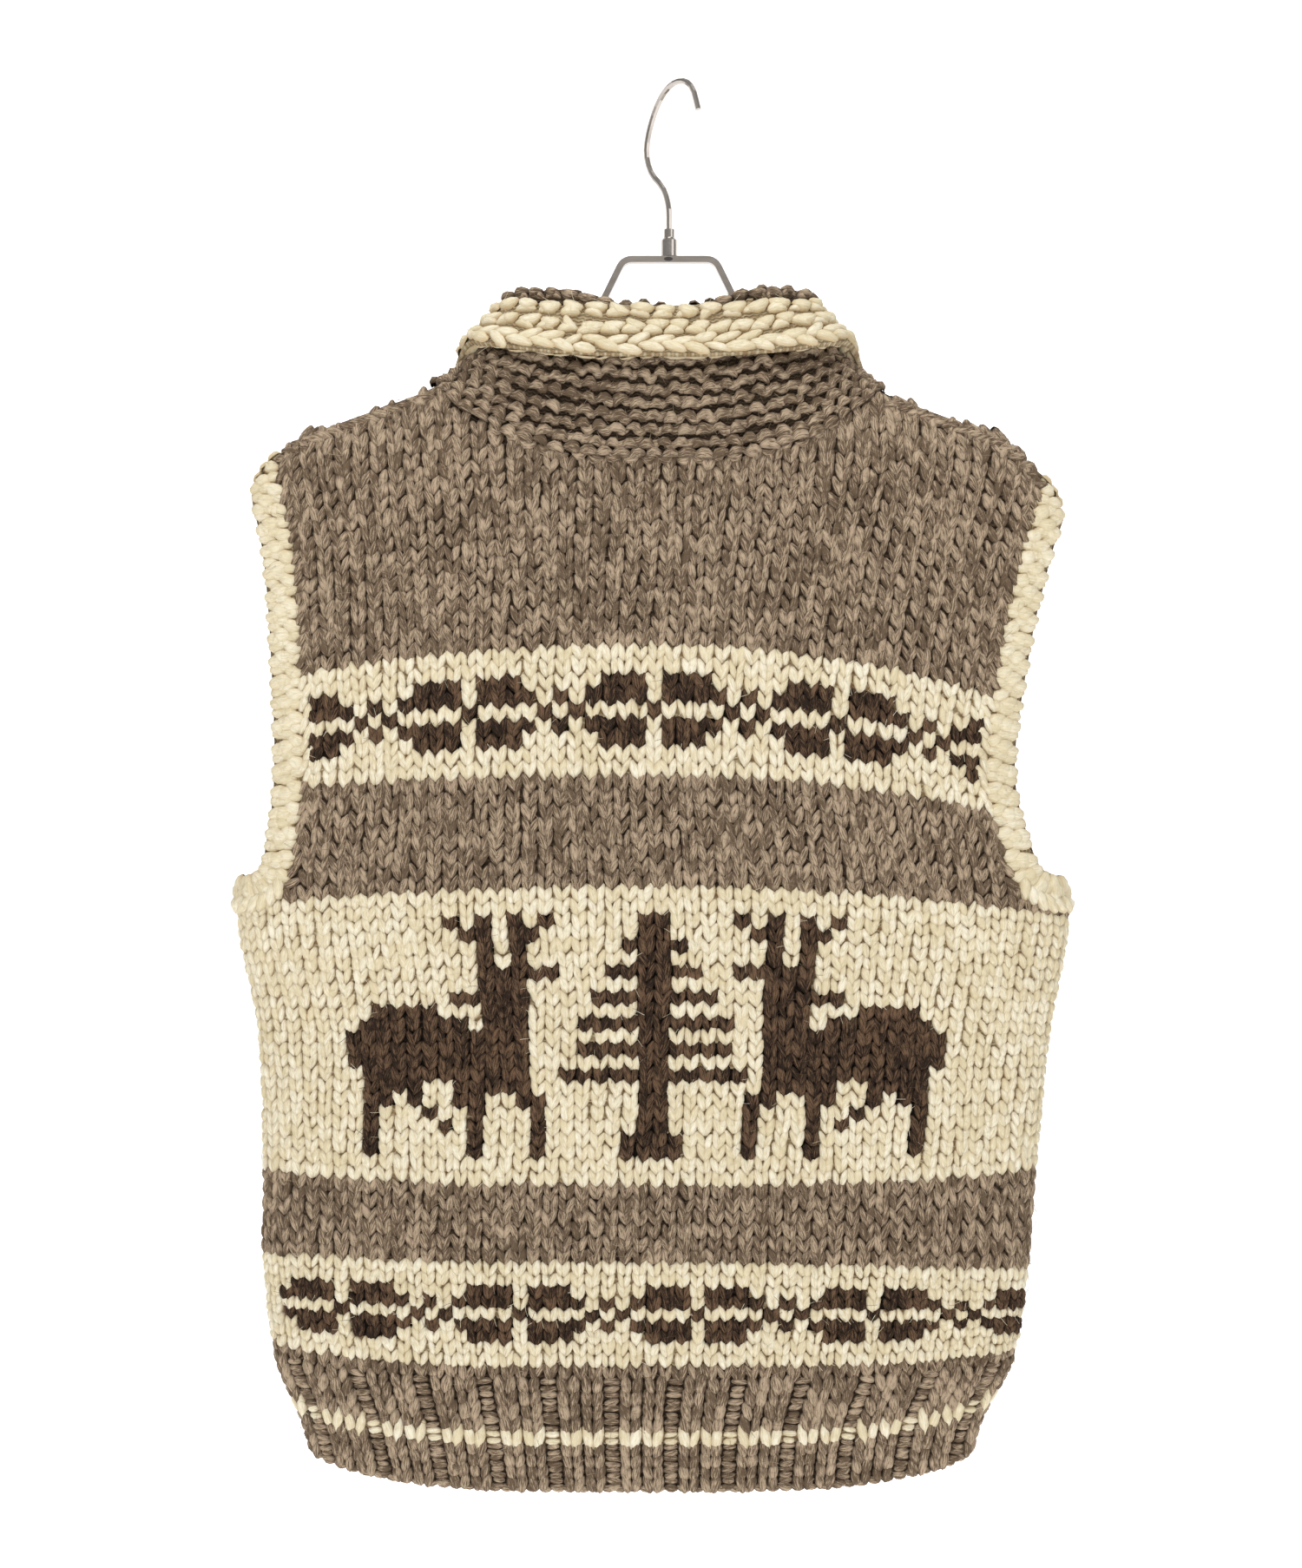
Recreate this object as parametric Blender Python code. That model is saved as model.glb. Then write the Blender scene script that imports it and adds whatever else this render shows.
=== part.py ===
"""A sleeveless knitted vest with a shawl collar, hung by its shoulders on a steel hanger.

The vest is knitted from thick wool: a back, a front, a collar folded over on itself with a
pale edge band, and one ridged band round each armhole. Sizes are in millimetres in this file
and become metres where a piece is placed. +Z is up, the back of the vest faces -Y, and the
origin is the underside of the hook's top bend, where a rod or a peg holds the hanger.
"""
import math
from bisect import bisect_right
from collections import namedtuple

import bmesh
import bpy
import numpy as np
from mathutils import Vector

MM = 0.001

# Cloth
WALL = 6.0                # thickness of the knitted fabric
SEAM_GAP = 0.3            # between neighbouring pieces
MID_Y = 7.5               # the plane half way between front and back
SECTION_POWER = 2.6       # how square the level sections of the body are
SECTION_SAMPLES = 800     # points used to space the columns evenly round a section
SHOULDER_ROLL = 30.0      # height over which front and back round together at the shoulders

# Columns of the panels' pattern, counted from the middle
HALF_COLUMNS = 18         # from the centre line to a side seam
NOTCH_COLUMN = 17         # where the underarm curve leaves the level underarm
ARMHOLE_COLUMN = 15       # the straight edge of the armhole
NECK_COLUMN = 10          # the point where the neck meets the shoulder, in columns of the yoke
HALF_ARC = 262.0          # cloth from the centre line to a side seam at the chest
UNDERARM_RADIUS = (NOTCH_COLUMN - ARMHOLE_COLUMN) / HALF_COLUMNS * HALF_ARC

# Rows of the panels' pattern, as shares of the height from hem to underarm and on to the top
BODY_STEPS = (0, 0.035, 0.075, 0.12, 0.19, 0.32, 0.50, 0.68, 0.85, 1)
YOKE_STEPS = (0.02, 0.05, 0.105, 0.25, 0.42, 0.58, 0.73, 0.86, 0.92, 0.96, 0.985, 1)

# Heights below the hook
UNDERARM_Z = -518.0
NECK_POINT_Z = -188.0
BACK_NECK_Z = -238.0
FRONT_NECK_Z = -389.0
BACK_NECK_BEND = 3        # how flat the scoop of the back neckline is before it turns up
FRONT_NECK_BEND = 0.95    # 1 gives a straight V, less bows its sides outwards
HEM_Z = -888.0
HEM_CORNER_RISE = 22.0    # the hem's corners hang this much higher than its middle
HEM_CORNER_POWER = 4
RIB_TOP_Z = -812.0
RIB_FADE = 22.0
RIB_CREST = 1.2
RIB_VALLEY = -2.2
RIB_COLUMNS = 3           # one valley and two crests

# Shoulder line
SHOULDER_CENTRE = -19.0
NECK_HALF = 136.0
SHOULDER_SLOPE = 0.36
NECK_SLOPE = 0.12
TIP_START = 216.0
TIP_REACH = 46.0
TIP_DROP = 34.0
RIDGE_PASSES = 14         # enough for the height to settle within a micron

# Armhole bands
BAND_WIDTH = 22.0         # in the flat cloth
BAND_RIDGES = 42          # puffy cross ridges round one armhole
BAND_RIDGE_HEIGHT = 1.8
BAND_EDGE_SOFTEN = 1.6

# Collar
COLLAR_RIDGE = 1.5
COLLAR_RIDGE_SLOPE = 0.35 # a ridge is no higher than this share of its half width
COLLAR_FOLD_RADIUS = 5.6  # of the middle of the cloth where the collar folds over
STAND_RIDGES = 7
EDGE_RIDGES = 3           # on the pale edge band
STAND_STEPS = 2 * STAND_RIDGES + 2    # the last two are plain, hidden under the fold
FOLD_STEPS = 4
EDGE_STEPS = 2 * EDGE_RIDGES + 1
COLLAR_SPLIT = STAND_STEPS + FOLD_STEPS + 1   # step at which the pale band begins
HALF_STEP_COLUMNS = (8, 14)   # between these the collar has two sections for each column

# Hanger
AXIS_X = -7.5             # of the ferrule and the hook's stem
BAR_DEPTH = 9.0
BAR_THICK = 4.0
BAR_TOP_Z = -108.0
BAR_TOP_HALF = 29.0
BAR_LEG_LEAN = 0.48
BAR_FOOT_Z = -208.0
BAR_CORNER = 9.0
BAR_CORNER_STEPS = 5
ARM_STOPS = (205.0, 182.0, 160.0)   # of an arm's corners from the shoulders' centre, its end first
ARM_CLEAR = 3.9           # leaves the strip's edges just under the rounded shoulder seam
FERRULE_RADIUS = 5.0
FERRULE_TOP_RADIUS = 3.4
FERRULE_HEIGHT = 11.0
FERRULE_NECK = 6.0
FERRULE_BEVEL = 0.8
FERRULE_SEGMENTS = 20
SHARP_ANGLE = math.radians(35)
WIRE_RADIUS = 2.0
WIRE_SOCKET = 0.3         # clearance round the stem in the ferrule
HOOK_YAW = math.radians(-45)
HOOK_STEPS = 30

Level = namedtuple("Level", "z half_width centre half_depth")
LEVELS = (                # from the hem up; above the underarm the width is that of a full section
    Level(-892, 203, -24, 26),
    Level(-846, 214, -25, 32),
    Level(-804, 233, -23, 36),
    Level(-741, 242, -22, 38),
    Level(-690, 244, -20, 39),
    Level(-600, 250, -17, 39),
    Level(-518, 263, -18, 38),
    Level(-440, 249, -23, 36),
    Level(-358, 255, -19.5, 35),
    Level(-297, 265, -15, 33),
    Level(-240, 280, -12, 30),
    Level(-180, 281, -14, 29),
)

Fold = namedtuple("Fold", "face across spread z length depth")
FOLDS = (                 # soft swells of the hanging cloth; face is -1 on the back, 1 on the front
    Fold(-1, -0.55, 0.16, -790, 90, 3.0),
    Fold(-1, 0.62, 0.14, -770, 110, 3.0),
    Fold(-1, 0.10, 0.20, -600, 150, 2.0),
    Fold(-1, -0.50, 0.14, -430, 90, 2.0),
    Fold(-1, 0.52, 0.15, -420, 100, 2.5),
    Fold(1, -0.45, 0.18, -760, 120, 3.0),
    Fold(1, 0.50, 0.15, -700, 130, 3.0),
    Fold(1, 0.05, 0.14, -560, 110, 2.0),
)

CollarRow = namedtuple("CollarRow", "part fold_x fold_y fold_z edge_x edge_y edge_z")
COLLAR_ROWS = (           # part: 0 centre back, 0.5 neck point, 1 point of the V
    CollarRow(0.00, 0, -25, -150, 0, -40, -178),
    CollarRow(0.10, 25, -25, -149, 30, -40, -178),
    CollarRow(0.25, 62, -24, -141, 74, -38, -175),
    CollarRow(0.40, 87, -15, -142, 106, -30, -171),
    CollarRow(0.50, 95, 0, -149, 119, -8, -171),
    CollarRow(0.55, 98, 19, -176, 131, 22, -190),
    CollarRow(0.60, 91, 36, -212, 128, 39, -234),
    CollarRow(0.70, 68, 44, -258, 104, 46, -286),
    CollarRow(0.80, 40, 45, -299, 75, 47, -328),
    CollarRow(0.90, 15, 46, -340, 46, 48, -372),
    CollarRow(1.00, 0, 46, -372, 0, 48, -419),
)

HookPoint = namedtuple("HookPoint", "out z")
HOOK_ROUTE = (            # out is measured from the stem's axis in the plane of the hook
    HookPoint(0.0, -101),
    HookPoint(0.0, -88),
    HookPoint(-0.6, -76),
    HookPoint(-5.5, -64),
    HookPoint(-16.0, -53),
    HookPoint(-20.3, -40),
    HookPoint(-17.8, -26),
    HookPoint(-10.7, -11),
    HookPoint(-1.0, -1),
    HookPoint(10.6, 2),
    HookPoint(20.3, -3.5),
    HookPoint(25.8, -18),
)


def glide(rows, key, column):
    """Value of a table's column at key, on a smooth curve through the rows; the first column is the key."""
    keys = [row[0] for row in rows]
    values = [getattr(row, column) for row in rows]
    key = min(max(key, keys[0]), keys[-1])
    i = min(max(bisect_right(keys, key) - 1, 0), len(rows) - 2)

    def slope(n):
        low, high = max(n - 1, 0), min(n + 1, len(rows) - 1)
        return (values[high] - values[low]) / (keys[high] - keys[low])

    span = keys[i + 1] - keys[i]
    t = (key - keys[i]) / span
    return ((2 * t**3 - 3 * t**2 + 1) * values[i] + (t**3 - 2 * t**2 + t) * span * slope(i)
            + (3 * t**2 - 2 * t**3) * values[i + 1] + (t**3 - t**2) * span * slope(i + 1))


def even_section():
    """Even spacing round a quarter of a level section: fractions of its arc, and the matching x share."""
    chest = next(row for row in LEVELS if row.z == UNDERARM_Z)
    angle = np.linspace(math.pi / 2, 0, SECTION_SAMPLES)
    x = np.clip(np.cos(angle), 0, 1) ** (2 / SECTION_POWER)
    y = np.sin(angle) ** (2 / SECTION_POWER)
    arc = np.concatenate(([0], np.cumsum(np.hypot(np.diff(x) * chest.half_width,
                                                  np.diff(y) * chest.half_depth))))
    return arc / arc[-1], x


ARC_SHARE, X_SHARE = even_section()


def ridge_height(x):
    """Height of the shoulder line at x; over the neck it is only a guide for the rounding."""
    away = abs(x - SHOULDER_CENTRE)
    if away < NECK_HALF:
        return NECK_POINT_Z + NECK_SLOPE * (NECK_HALF - away)
    tip = max(0.0, (away - TIP_START) / TIP_REACH)
    return NECK_POINT_Z - SHOULDER_SLOPE * (away - NECK_HALF) - TIP_DROP * tip**2


def across_x(across, z):
    """x of a column: across runs from -1 at the left side seam to 1 at the right one."""
    share = math.copysign(float(np.interp(abs(across), ARC_SHARE, X_SHARE)), across)
    return glide(LEVELS, z, "centre") + glide(LEVELS, z, "half_width") * share


def ridge_at(across):
    """Height at which a column reaches the shoulder line, found by repeated substitution."""
    z = NECK_POINT_Z
    for _ in range(RIDGE_PASSES):
        z = ridge_height(across_x(across, z))
    return z


def swell(face, across, z):
    """How far the soft folds push the cloth out at this point."""
    return sum(fold.depth * (1 - across**2) * math.exp(-((across - fold.across) / fold.spread) ** 2
                                                       - ((z - fold.z) / fold.length) ** 2)
               for fold in FOLDS if fold.face == face)


def cloth(face, across, z, grow=0.0, gap=SEAM_GAP / 2):
    """Point of the body's cloth; grow moves it outwards from the outer face, or inwards below 0."""
    share = float(np.interp(abs(across), ARC_SHARE, X_SHARE))
    half_depth = glide(LEVELS, z, "half_depth") + swell(face, across, z)
    outer_x = across_x(across, z)
    below = max(0.0, ridge_height(outer_x) - z)
    roll = max(0.0, 1 - below / SHOULDER_ROLL)
    flat = (1 - share**SECTION_POWER) ** (1 / SECTION_POWER) * math.sqrt(1 - roll**2)
    x = outer_x + math.copysign(share, across) * grow
    return Vector((x, MID_Y + face * (gap + (half_depth + grow) * flat), z + grow * roll))


def armhole_edge(z):
    """Share of the half section at which the panel ends, with the underarm's quarter round."""
    rise = min(max(z - UNDERARM_Z, 0.0), UNDERARM_RADIUS)
    inset = UNDERARM_RADIUS - math.sqrt(UNDERARM_RADIUS**2 - (UNDERARM_RADIUS - rise) ** 2)
    return ARMHOLE_COLUMN / HALF_COLUMNS + inset / HALF_ARC


def yoke_across(column, z):
    """Across value of a yoke column, which spreads with the armhole's edge."""
    return column / NOTCH_COLUMN * armhole_edge(z)


def top_height(face, column):
    """Height of a yoke column's upper end: on the shoulder line, or on the neckline."""
    if abs(column) >= NECK_COLUMN:
        return ridge_at(yoke_across(column, NECK_POINT_Z))
    share = abs(column) / NECK_COLUMN
    if face < 0:
        return BACK_NECK_Z + (NECK_POINT_Z - BACK_NECK_Z) * share**BACK_NECK_BEND
    return NECK_POINT_Z + (FRONT_NECK_Z - NECK_POINT_Z) * (1 - share) ** FRONT_NECK_BEND


def hem_height(column):
    return HEM_Z + HEM_CORNER_RISE * abs(column / HALF_COLUMNS) ** HEM_CORNER_POWER


def rib_relief(column, z):
    """Raised ribs of the hem, which fade out at their top."""
    fade = min(1.0, max(0.0, (RIB_TOP_Z + RIB_FADE - z) / RIB_FADE))
    return fade * (RIB_VALLEY if round(column) % RIB_COLUMNS == 0 else RIB_CREST)


def wool(name, colour, roughness=0.95):
    return finish(name, colour, roughness, 0.0)


def finish(name, colour, roughness, metallic):
    """A Principled material."""
    material = bpy.data.materials.get(name) or bpy.data.materials.new(name)
    material.use_nodes = True
    shader = material.node_tree.nodes["Principled BSDF"]
    shader.inputs["Base Color"].default_value = (*colour, 1)
    shader.inputs["Roughness"].default_value = roughness
    shader.inputs["Metallic"].default_value = metallic
    return material


def add_object(name, mesh, material, collection):
    piece = bpy.data.objects.new(name, mesh)
    mesh.materials.append(material)
    collection.objects.link(piece)
    return piece


def slab(name, columns, rows, place, material, collection, keep=None):
    """A wall from a flat pattern: a grid, cut, given a second side, and laid in place.

    place takes the column, the row and the side (0 outer, 1 inner) and gives the point in mm.
    """
    bm = bmesh.new()
    bmesh.ops.create_grid(bm, x_segments=columns, y_segments=rows, size=0.5)
    for vert in bm.verts:
        vert.co = Vector((round((vert.co.x + 0.5) * columns), round((vert.co.y + 0.5) * rows), 0))
    if keep:
        cut = [face for face in bm.faces if not keep(*face.calc_center_median().xy)]
        bmesh.ops.delete(bm, geom=cut, context="FACES")
    grown = bmesh.ops.extrude_face_region(bm, geom=bm.faces[:], use_keep_orig=True)["geom"]
    second = [item for item in grown if isinstance(item, bmesh.types.BMVert)]
    bmesh.ops.translate(bm, vec=(0, 0, 1), verts=second)
    for vert in bm.verts:
        column, row, side = (round(value) for value in vert.co)
        vert.co = place(column, row, side) * MM
    bmesh.ops.triangulate(bm, faces=bm.faces[:])      # so skewed cells bend one way everywhere
    bmesh.ops.recalc_face_normals(bm, faces=bm.faces[:])
    if bm.calc_volume(signed=True) < 0:
        bmesh.ops.reverse_faces(bm, faces=bm.faces[:])
    mesh = bpy.data.meshes.new(name)
    bm.to_mesh(mesh)
    bm.free()
    mesh.shade_smooth()
    return add_object(name, mesh, material, collection)


def panel(name, face, material, collection):
    """The back (face -1) or the front (face 1): ribbed hem, body, underarm notches, yoke and neckline."""
    body_rows = len(BODY_STEPS) - 1
    rows = body_rows + len(YOKE_STEPS)

    def inside(column, row):
        return row < body_rows or abs(column - HALF_COLUMNS) < NOTCH_COLUMN

    def place(index, row, side):
        column = index - HALF_COLUMNS
        if row <= body_rows:
            low = hem_height(column)
            z = low + (UNDERARM_Z - low) * BODY_STEPS[row]
            across = column / HALF_COLUMNS
        else:
            z = UNDERARM_Z + (top_height(face, column) - UNDERARM_Z) * YOKE_STEPS[row - body_rows - 1]
            across = yoke_across(column, z)
        relief = rib_relief(column, z) if side == 0 else -WALL
        return cloth(face, across, z, relief)

    return slab(name, 2 * HALF_COLUMNS, rows, place, material, collection, inside)


def armhole_seam(face, hand):
    """The panel's edge along half an armhole, side seam to shoulder: (across, z) of its grid points."""
    top = top_height(face, hand * NOTCH_COLUMN)
    heights = [UNDERARM_Z + (top - UNDERARM_Z) * step for step in YOKE_STEPS]
    return ([(hand, UNDERARM_Z), (hand * NOTCH_COLUMN / HALF_COLUMNS, UNDERARM_Z)]
            + [(yoke_across(hand * NOTCH_COLUMN, z), z) for z in heights])


def armhole_stations(face, hand, count):
    """Evenly spaced stops on that edge: segment, share of the segment, across, z."""
    seam = armhole_seam(face, hand)
    flat = np.array([(abs(across) * HALF_ARC, z) for across, z in seam])
    run = np.concatenate(([0], np.cumsum(np.hypot(*np.diff(flat, axis=0).T))))
    stops = []
    for n in range(count + 1):
        at = run[-1] * n / count
        segment = min(bisect_right(list(run), at) - 1, len(run) - 2)
        share = (at - run[segment]) / (run[segment + 1] - run[segment])
        arc, z = flat[segment] * (1 - share) + flat[segment + 1] * share
        stops.append((segment, share, arc, z))
    return seam, stops


def into_armhole(arc, z):
    """Direction in the flat cloth from the armhole's edge into the opening."""
    centre = NOTCH_COLUMN / HALF_COLUMNS * HALF_ARC
    along, up = max(centre - arc, 0.0), max(UNDERARM_Z + UNDERARM_RADIUS - z, 0.0)
    length = max(math.hypot(along, up), 0.001)
    return (along / length, up / length) if up > 0 else (1.0, 0.0)


def armhole_band(name, hand, material, collection):
    """Ridged band round one armhole, joined under the arm. hand is -1 on the left and 1 on the right."""
    stations = 2 * BAND_RIDGES
    rows = 2
    halves = {face: armhole_stations(face, hand, BAND_RIDGES) for face in (-1, 1)}

    def place(index, row, side):
        face = -1 if index <= BAND_RIDGES else 1
        n = index if face < 0 else stations - index
        seam, stops = halves[face]
        segment, share, arc, z = stops[n]
        gap = SEAM_GAP / 2 if n == 0 else 0.0       # only the underarm join is a seam
        relief = BAND_RIDGE_HEIGHT * (index % 2) - (BAND_EDGE_SOFTEN if row == rows else 0.0)
        grow = relief if side == 0 else -WALL
        outwards = into_armhole(arc, z)
        width = BAND_WIDTH * max(row, 1) / rows
        across = hand * min((arc + width * outwards[0]) / HALF_ARC, 1.0)
        height = z + width * outwards[1]
        edge_top, top = seam[-1][1], ridge_at(across)
        climb = min(max((height - UNDERARM_Z) / (edge_top - UNDERARM_Z), 0.0), 1.0)
        spot = cloth(face, across, height + (top - edge_top) * climb, grow, gap)
        if row > 0:
            return spot
        ends = [cloth(face, *seam[segment + k], 0 if side == 0 else -WALL, gap) for k in (0, 1)]
        start = ends[0].lerp(ends[1], share)
        if n == BAND_RIDGES:
            start.y = MID_Y
        return start + (spot - start).normalized() * SEAM_GAP

    return slab(name, stations, rows, place, material, collection)


def neckline_columns():
    """Place of each collar section on the neckline, in columns from the centre back, left below 0."""
    quarter = []
    for column in range(2 * NECK_COLUMN + 1):
        quarter.append(float(column))
        if HALF_STEP_COLUMNS[0] <= column < HALF_STEP_COLUMNS[1]:
            quarter.append(column + 0.5)
    return [-part for part in reversed(quarter[1:])] + quarter


def neckline_point(part, grow):
    """Point of the panels' neckline; part counts columns from the centre back, left below 0."""
    low, high = math.floor(part), math.ceil(part)

    def corner(index):
        hand = -1 if index < 0 else 1
        count = abs(index)
        face = -1 if count <= NECK_COLUMN else 1
        column = hand * (count if face < 0 else 2 * NECK_COLUMN - count)
        z = top_height(face, column)
        gap = 0.0 if count == NECK_COLUMN else SEAM_GAP / 2
        return cloth(face, yoke_across(column, z), z, grow, gap)

    return corner(low).lerp(corner(high), part - low)


def collar_line(part, which):
    """Point of the collar's fold line or of its free edge."""
    at = abs(part) / (2 * NECK_COLUMN)
    hand = -1 if part < 0 else 1
    x, y, z = (glide(COLLAR_ROWS, at, f"{which}_{axis}") for axis in "xyz")
    return Vector((glide(LEVELS, z, "centre") + hand * x, MID_Y + y, z))


def collar_section(part):
    """One section of the folded collar: its middle line from seam to free edge, and its two seam corners."""
    fold, edge = collar_line(part, "fold"), collar_line(part, "edge")
    outer, inner = neckline_point(part, 0), neckline_point(part, -WALL)
    end = 2 * NECK_COLUMN
    ahead = neckline_point(min(part + 1, end), 0) - neckline_point(max(part - 1, -end), 0)
    rise = ahead.cross(outer - inner).normalized()
    if rise.dot(fold - outer) < 0:
        rise.negate()
    if abs(part) == end:
        rise = Vector((0, 0, 1))
    seam = (outer + inner) / 2 + rise * SEAM_GAP
    fall = (edge - fold).normalized()
    along = collar_line(min(part + 0.5, end), "fold") - collar_line(max(part - 0.5, -end), "fold")
    out = fall.cross(along).normalized()
    foot = fold - out * COLLAR_FOLD_RADIUS
    reach = (foot - seam).length / 3
    points = []
    for step in range(STAND_STEPS):
        t = step / STAND_STEPS
        a, b, c = seam + rise * reach, foot + fall * reach, foot
        points.append((1 - t) ** 3 * seam + 3 * t * (1 - t) ** 2 * a + 3 * t**2 * (1 - t) * b + t**3 * c)
    for step in range(FOLD_STEPS + 1):
        turn = math.pi * step / FOLD_STEPS
        points.append(fold - COLLAR_FOLD_RADIUS * (math.cos(turn) * out + math.sin(turn) * fall))
    start, end_point = points[-1], edge + out * COLLAR_FOLD_RADIUS
    for step in range(1, EDGE_STEPS + 1):
        points.append(start.lerp(end_point, step / EDGE_STEPS))
    return points, outer + rise * SEAM_GAP, inner + rise * SEAM_GAP


def collar_pieces(brown, cream, collection):
    """The collar's stand and fold, and the pale band at its free edge."""
    parts = neckline_columns()
    sections = [collar_section(part) for part in parts]
    lines = [section[0] for section in sections]
    final = len(parts) - 1
    edge = COLLAR_SPLIT + EDGE_STEPS - 1

    def normal(i, j):
        along = lines[min(i + 1, final)][j] - lines[max(i - 1, 0)][j]
        up = lines[i][min(j + 1, edge)] - lines[i][max(j - 1, 0)]
        return along.cross(up).normalized()

    def wall_point(i, j, side, shift):
        middle, outer, inner = sections[i]
        if j == 0:
            return Vector(outer if side == 0 else inner)
        pitch = (middle[j] - middle[j - 1]).length
        height = min(COLLAR_RIDGE, COLLAR_RIDGE_SLOPE * pitch) * (j % 2)
        on_stand = side == 0 and j <= 2 * STAND_RIDGES
        on_fall = side == 1 and j >= COLLAR_SPLIT
        half = WALL / 2 + (height if on_stand or on_fall else 0.0)
        base = middle[j] + shift * (middle[j] - middle[j - 1]).normalized()
        return base + normal(i, j) * (half if side == 0 else -half)

    for name, first, last, material in (("collar", 0, COLLAR_SPLIT, brown),
                                        ("collar_band", COLLAR_SPLIT, edge, cream)):
        def place(i, row, side, first=first):
            spot = wall_point(i, first + row, side, SEAM_GAP if row == 0 else 0.0)
            if i in (0, final):
                spot.x = across_x(0, FRONT_NECK_Z) + math.copysign(SEAM_GAP / 2, parts[i])
            return spot
        slab(name, final, last - first, place, material, collection)


def rounded(corners, radius, steps):
    """Points of a path in x and z through the corners, each rounded off."""
    path = [corners[0]]
    for before, corner, after in zip(corners, corners[1:], corners[2:]):
        back = (before - corner).normalized()
        on = (after - corner).normalized()
        opening = back.angle(on)
        length = min(radius / math.tan(opening / 2), 0.45 * (after - corner).length)
        if length < BAR_THICK / 4:
            path.append(corner)
            continue
        start, end = corner + back * length, corner + on * length
        for step in range(steps + 1):
            t = step / steps
            path.append((1 - t) ** 2 * start + 2 * t * (1 - t) * corner + t**2 * end)
    path.append(corners[-1])
    return path


def hanger_bar(material, collection):
    """Flat steel strip: two arms under the shoulders, two legs through the collar and a top bar."""
    half = BAR_THICK / 2
    foot = BAR_TOP_HALF + (BAR_TOP_Z - BAR_FOOT_Z) * BAR_LEG_LEAN

    def arm_height(x):
        return ridge_height(x) - WALL - ARM_CLEAR - half

    corners = []
    for away in ARM_STOPS:
        x = SHOULDER_CENTRE - away
        corners.append(Vector((x, arm_height(x))))
    corners.append(Vector((AXIS_X - foot, BAR_FOOT_Z)))
    corners.append(Vector((AXIS_X - BAR_TOP_HALF, BAR_TOP_Z - half)))
    corners.append(Vector((AXIS_X + BAR_TOP_HALF, BAR_TOP_Z - half)))
    corners.append(Vector((AXIS_X + foot, BAR_FOOT_Z)))
    for away in reversed(ARM_STOPS):
        x = SHOULDER_CENTRE + away
        corners.append(Vector((x, arm_height(x))))
    path = rounded(corners, BAR_CORNER, BAR_CORNER_STEPS)

    def place(index, row, side):
        before = path[max(index - 1, 0)]
        after = path[min(index + 1, len(path) - 1)]
        along = (after - before).normalized()
        spot = path[index] + Vector((-along.y, along.x)) * (half if side == 0 else -half)
        return Vector((spot.x, MID_Y + (row - 0.5) * BAR_DEPTH, spot.y))

    return slab("hanger_bar", len(path) - 1, 1, place, material, collection)


def hanger_ferrule(material, collection):
    """Turned collar on the top bar, bored for the hook's stem."""
    bottom = BAR_TOP_Z + SEAM_GAP
    bore = WIRE_RADIUS + WIRE_SOCKET
    step_z = bottom + FERRULE_HEIGHT
    top = step_z + FERRULE_NECK
    profile = ((bore, top), (FERRULE_TOP_RADIUS, top), (FERRULE_TOP_RADIUS, step_z + FERRULE_BEVEL),
               (FERRULE_RADIUS - FERRULE_BEVEL, step_z), (FERRULE_RADIUS, step_z - FERRULE_BEVEL),
               (FERRULE_RADIUS, bottom), (bore, bottom))
    mesh = bpy.data.meshes.new("hanger_ferrule")
    bm = bmesh.new()
    verts = [bm.verts.new(Vector((radius, 0, z)) * MM) for radius, z in profile]
    edges = [bm.edges.new((a, b)) for a, b in zip(verts, verts[1:] + verts[:1])]
    bmesh.ops.spin(bm, geom=verts + edges, cent=(0, 0, 0), axis=(0, 0, 1), angle=math.tau,
                   steps=FERRULE_SEGMENTS, use_merge=True)
    bmesh.ops.remove_doubles(bm, verts=bm.verts[:], dist=0.00001)
    bmesh.ops.translate(bm, vec=Vector((AXIS_X, MID_Y, 0)) * MM, verts=bm.verts[:])
    bmesh.ops.recalc_face_normals(bm, faces=bm.faces[:])
    bm.to_mesh(mesh)
    bm.free()
    mesh.shade_smooth()
    mesh.set_sharp_from_angle(angle=SHARP_ANGLE)
    return add_object("hanger_ferrule", mesh, material, collection)


def hanger_hook(material, collection):
    """Wire hook: its stem stands in the ferrule, and its mouth is turned half away from the viewer."""
    keyed = [namedtuple("Stop", "at out z")(n, *stop) for n, stop in enumerate(HOOK_ROUTE)]
    direction = Vector((math.cos(HOOK_YAW), math.sin(HOOK_YAW), 0))
    curve = bpy.data.curves.new("hanger_hook", "CURVE")
    curve.dimensions = "3D"
    curve.bevel_depth = WIRE_RADIUS * MM
    curve.bevel_resolution = 2
    curve.use_fill_caps = True
    spline = curve.splines.new("POLY")
    spline.points.add(HOOK_STEPS)
    for n, point in enumerate(spline.points):
        at = n / HOOK_STEPS * (len(keyed) - 1)
        spot = direction * glide(keyed, at, "out") + Vector((AXIS_X, MID_Y, glide(keyed, at, "z")))
        point.co = (*(spot * MM), 1)
    return add_object("hanger_hook", curve, material, collection)


def build():
    for item in list(bpy.data.objects):
        bpy.data.objects.remove(item, do_unlink=True)
    collection = bpy.data.collections.new("knitted_vest")
    bpy.context.scene.collection.children.link(collection)
    brown = wool("brown_wool", (0.19, 0.135, 0.095))
    cream = wool("cream_wool", (0.78, 0.70, 0.50))
    steel = finish("steel", (0.55, 0.52, 0.50), 0.3, 1.0)
    panel("back", -1, brown, collection)
    panel("front", 1, brown, collection)
    collar_pieces(brown, cream, collection)
    armhole_band("armhole_band_left", -1, cream, collection)
    armhole_band("armhole_band_right", 1, cream, collection)
    hanger_bar(steel, collection)
    hanger_ferrule(steel, collection)
    hanger_hook(steel, collection)


build()
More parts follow.
